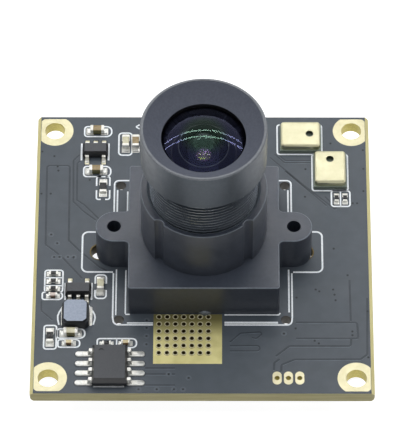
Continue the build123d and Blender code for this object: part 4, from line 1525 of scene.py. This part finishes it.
@dataclass
class Studio:
    """A white studio: soft lamps, a pale floor and a surround that greys overhead."""

    ambient: float = 0.08
    overhead: float = 0.5
    paling: tuple[float, float] = (22.0, 50.0)
    floor_side: float = 3.0
    floor_glow: float = 0.95
    floor_colour: str = "#a8a8a8"
    lamps: tuple[Lamp, ...] = (
        Lamp("overhead_softbox", (0.0, 0.04, 0.3), (0.0, 0.02, 0.0), 0.32, 0.30, 2.9, False),
        Lamp("overhead_card", (0.0, 0.03, 0.3), (0.0, 0.03, 0.0), 0.2, 0.26, 0.35),
        Lamp("front_strip", (0.0, -0.45, 0.3), (0.0, 0.0, 0.01), 0.5, 0.05, 1.0),
        Lamp("back_strip_low", (0.0, 0.434, 0.50), (0.0, 0.0, 0.022), 1.36, 0.026, 7.0),
        Lamp("back_strip_high", (0.0, 0.297, 0.50), (0.0, 0.0, 0.022), 1.36, 0.024, 7.0),
    )

    def build(self) -> None:
        """Set up the surround, the floor and the lamps."""
        self.light_surround()
        self.lay_floor()
        for lamp in self.lamps:
            lamp.hang()

    def seen_directly(self, tree: NodeTree) -> NodeSocket:
        """Give 1 to the rays that show the surround itself: the camera's, and those of gloss and glass."""
        camera = add_node(tree, "LightPath", {}, "Is Camera Ray")
        glossy, through = (camera.node.outputs[ray] for ray in ("Is Glossy Ray", "Is Transmission Ray"))
        either = add_node(tree, "Math", {0: camera, 1: glossy}, operation="MAXIMUM")
        return add_node(tree, "Math", {0: either, 1: through}, operation="MAXIMUM")

    def light_surround(self) -> None:
        """Make the world white to look at, greyer overhead in gloss and dim as a light."""
        world = bpy.data.worlds.new("white_surround")
        world.use_nodes = True
        tree = world.node_tree
        tree.nodes.clear()
        camera = add_node(tree, "LightPath", {}, "Is Camera Ray")
        heading = add_node(tree, "TexCoord", {}, "Generated")
        height = add_node(tree, "SeparateXYZ", {"Vector": heading}, "Z")
        low, high = (math.sin(math.radians(angle)) for angle in self.paling)
        shade = add_node(tree, "MapRange", {
            "Value": height, "From Min": low, "From Max": high, "To Min": 1.0, "To Max": self.overhead,
        })
        mirrored = add_node(tree, "Math", {0: self.seen_directly(tree), 1: shade}, operation="MULTIPLY")
        shown = add_node(tree, "Math", {0: mirrored, 1: camera}, operation="MAXIMUM")
        strength = add_node(tree, "Math", {0: shown, 1: self.ambient}, operation="MAXIMUM")
        surround = add_node(tree, "Background", {"Color": linear("#ffffff"), "Strength": strength})
        add_node(tree, "OutputWorld", {"Surface": surround})
        bpy.context.scene.world = world

    def lay_floor(self) -> None:
        """Lay a floor that looks white and still takes a faint shadow."""
        mesh = bmesh.new()
        place = Matrix.Translation((0.0, 0.0, FLOOR_LEVEL * METRES))
        bmesh.ops.create_grid(mesh, x_segments=1, y_segments=1, size=self.floor_side / 2, matrix=place)
        data = bpy.data.meshes.new("floor")
        mesh.to_mesh(data)
        mesh.free()
        material = bpy.data.materials.new("white_card")
        material.use_nodes = True
        tree = material.node_tree
        tree.nodes.clear()
        card = add_node(tree, "BsdfDiffuse", {"Color": linear(self.floor_colour)})
        strength = add_node(
            tree, "Math", {0: self.seen_directly(tree), 1: self.floor_glow}, operation="MULTIPLY"
        )
        glow = add_node(tree, "Emission", {"Strength": strength})
        both = add_node(tree, "AddShader", {0: card, 1: glow})
        add_node(tree, "OutputMaterial", {"Surface": both})
        data.materials.append(material)
        floor = bpy.data.objects.new("floor", data)
        bpy.context.scene.collection.objects.link(floor)


@dataclass
class PhotoCamera:
    """The camera as it stood for the photograph, fitted to the board's corners and holes."""

    focal_pixels: float = 4139.09
    picture_height: int = 440
    sensor: float = 36.0
    distance: float = 465.751
    elevation: float = 54.403
    azimuth: float = 0.285
    roll: float = -0.166
    aside: float = -0.261
    above: float = -3.6133
    clip: Point2 = (0.01, 10.0)

    def build(self) -> None:
        """Place the camera and make it the scene's own."""
        up_angle, turn, roll = (math.radians(angle) for angle in (self.elevation, self.azimuth, self.roll))
        back = Vector((
            math.sin(turn) * math.cos(up_angle), -math.cos(turn) * math.cos(up_angle), math.sin(up_angle)
        ))
        right = Vector((math.cos(turn), math.sin(turn), 0.0))
        upward = back.cross(right)
        rolled_right = math.cos(roll) * right + math.sin(roll) * upward
        rolled_up = -math.sin(roll) * right + math.cos(roll) * upward
        spot = -self.aside * rolled_right - self.above * rolled_up + self.distance * back + UP * BOARD_TOP
        data = bpy.data.cameras.new("photo_camera")
        data.sensor_width = self.sensor
        data.lens = self.focal_pixels * self.sensor / self.picture_height
        data.clip_start, data.clip_end = self.clip
        camera = bpy.data.objects.new("photo_camera", data)
        turned = Matrix((rolled_right, rolled_up, back)).transposed().to_4x4()
        camera.matrix_world = Matrix.Translation(spot * METRES) @ turned
        bpy.context.scene.collection.objects.link(camera)
        bpy.context.scene.camera = camera


# Middles of the chips' feet: two rows of four, and twice two or three below and above their body.
MEMORY_MIDDLE_Y = -15.75
MEMORY_LEAD_PITCH = 1.27
MEMORY_FEET = tuple(
    (x, MEMORY_MIDDLE_Y + step * MEMORY_LEAD_PITCH) for x in (-12.7, -7.7) for step in (-1.5, -0.5, 0.5, 1.5)
)
UPPER_REGULATOR_FEET = (
    (-13.25, 12.75), (-11.35, 12.75), (-13.25, 15.05), (-12.3, 15.05), (-11.35, 15.05)
)
LOWER_REGULATOR_FEET = (
    (-14.82, -6.65), (-13.87, -6.65), (-12.92, -6.65), (-14.82, -4.35), (-12.92, -4.35)
)
# Each capacitor's top and its side with painted shade.
CAPACITORS: dict[str, tuple[Finish, Finish]] = {
    "capacitor_1": (TAN_CERAMIC, TAN_SHADED_SIDE),
    "capacitor_2": (TAN_CERAMIC, TAN_SHADED_SIDE),
    "capacitor_3": (PALE_CERAMIC, TAN_SHADED_SIDE),
    "capacitor_4": (TAN_CERAMIC, TAN_SHADED_SIDE),
    "capacitor_5": (PALE_CERAMIC, PALE_SHADED_SIDE),
    "capacitor_6": (PALE_CERAMIC, PALE_SHADED_SIDE),
    "capacitor_7": (ORANGE_CERAMIC, ORANGE_SHADED_SIDE),
    "capacitor_8": (ORANGE_CERAMIC, ORANGE_SHADED_SIDE),
    "capacitor_9": (PINK_CERAMIC, PINK_SHADED_SIDE),
}
RESISTOR_COUNT = 8


def main() -> None:
    """Build the module's parts in order, then the studio and the camera."""
    logging.basicConfig(level=logging.INFO, format="%(name)s: %(message)s")
    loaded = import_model()
    frame = Frame(loaded["nodes"])
    builders = [
        CircuitBoard(frame),
        EtchedGaps(),
        PrintedLines(),
        LensHolder(frame),
        LensBarrel(),
        LensGlasses(frame),
        Microphones(frame),
        LeadedChip(
            frame, "memory_chip", MEMORY_FEET, pad_reach=0.86, axis=0, foot_width=0.42, foot_length=1.0,
            pad_finish=SOLDER, pad_rounding=0.47, pad_height=0.16, pad_margin=0.14,
        ),
        LeadedChip(frame, "upper_regulator", UPPER_REGULATOR_FEET, pad_reach=0.25),
        LeadedChip(frame, "lower_regulator", LOWER_REGULATOR_FEET, pad_reach=0.4),
        PowerParts(frame),
        Underside(frame),
        *(ChipPart(frame, node, ChipKind.CAPACITOR, *finishes) for node, finishes in CAPACITORS.items()),
        *(
            ChipPart(frame, f"resistor_{number}", ChipKind.RESISTOR, ALUMINA, ALUMINA)
            for number in range(1, RESISTOR_COUNT + 1)
        ),
        Studio(),
        PhotoCamera(),
    ]
    for builder in builders:
        builder.build()
    bpy.context.scene.view_settings.view_transform = "Standard"


if __name__ == "__main__":
    main()
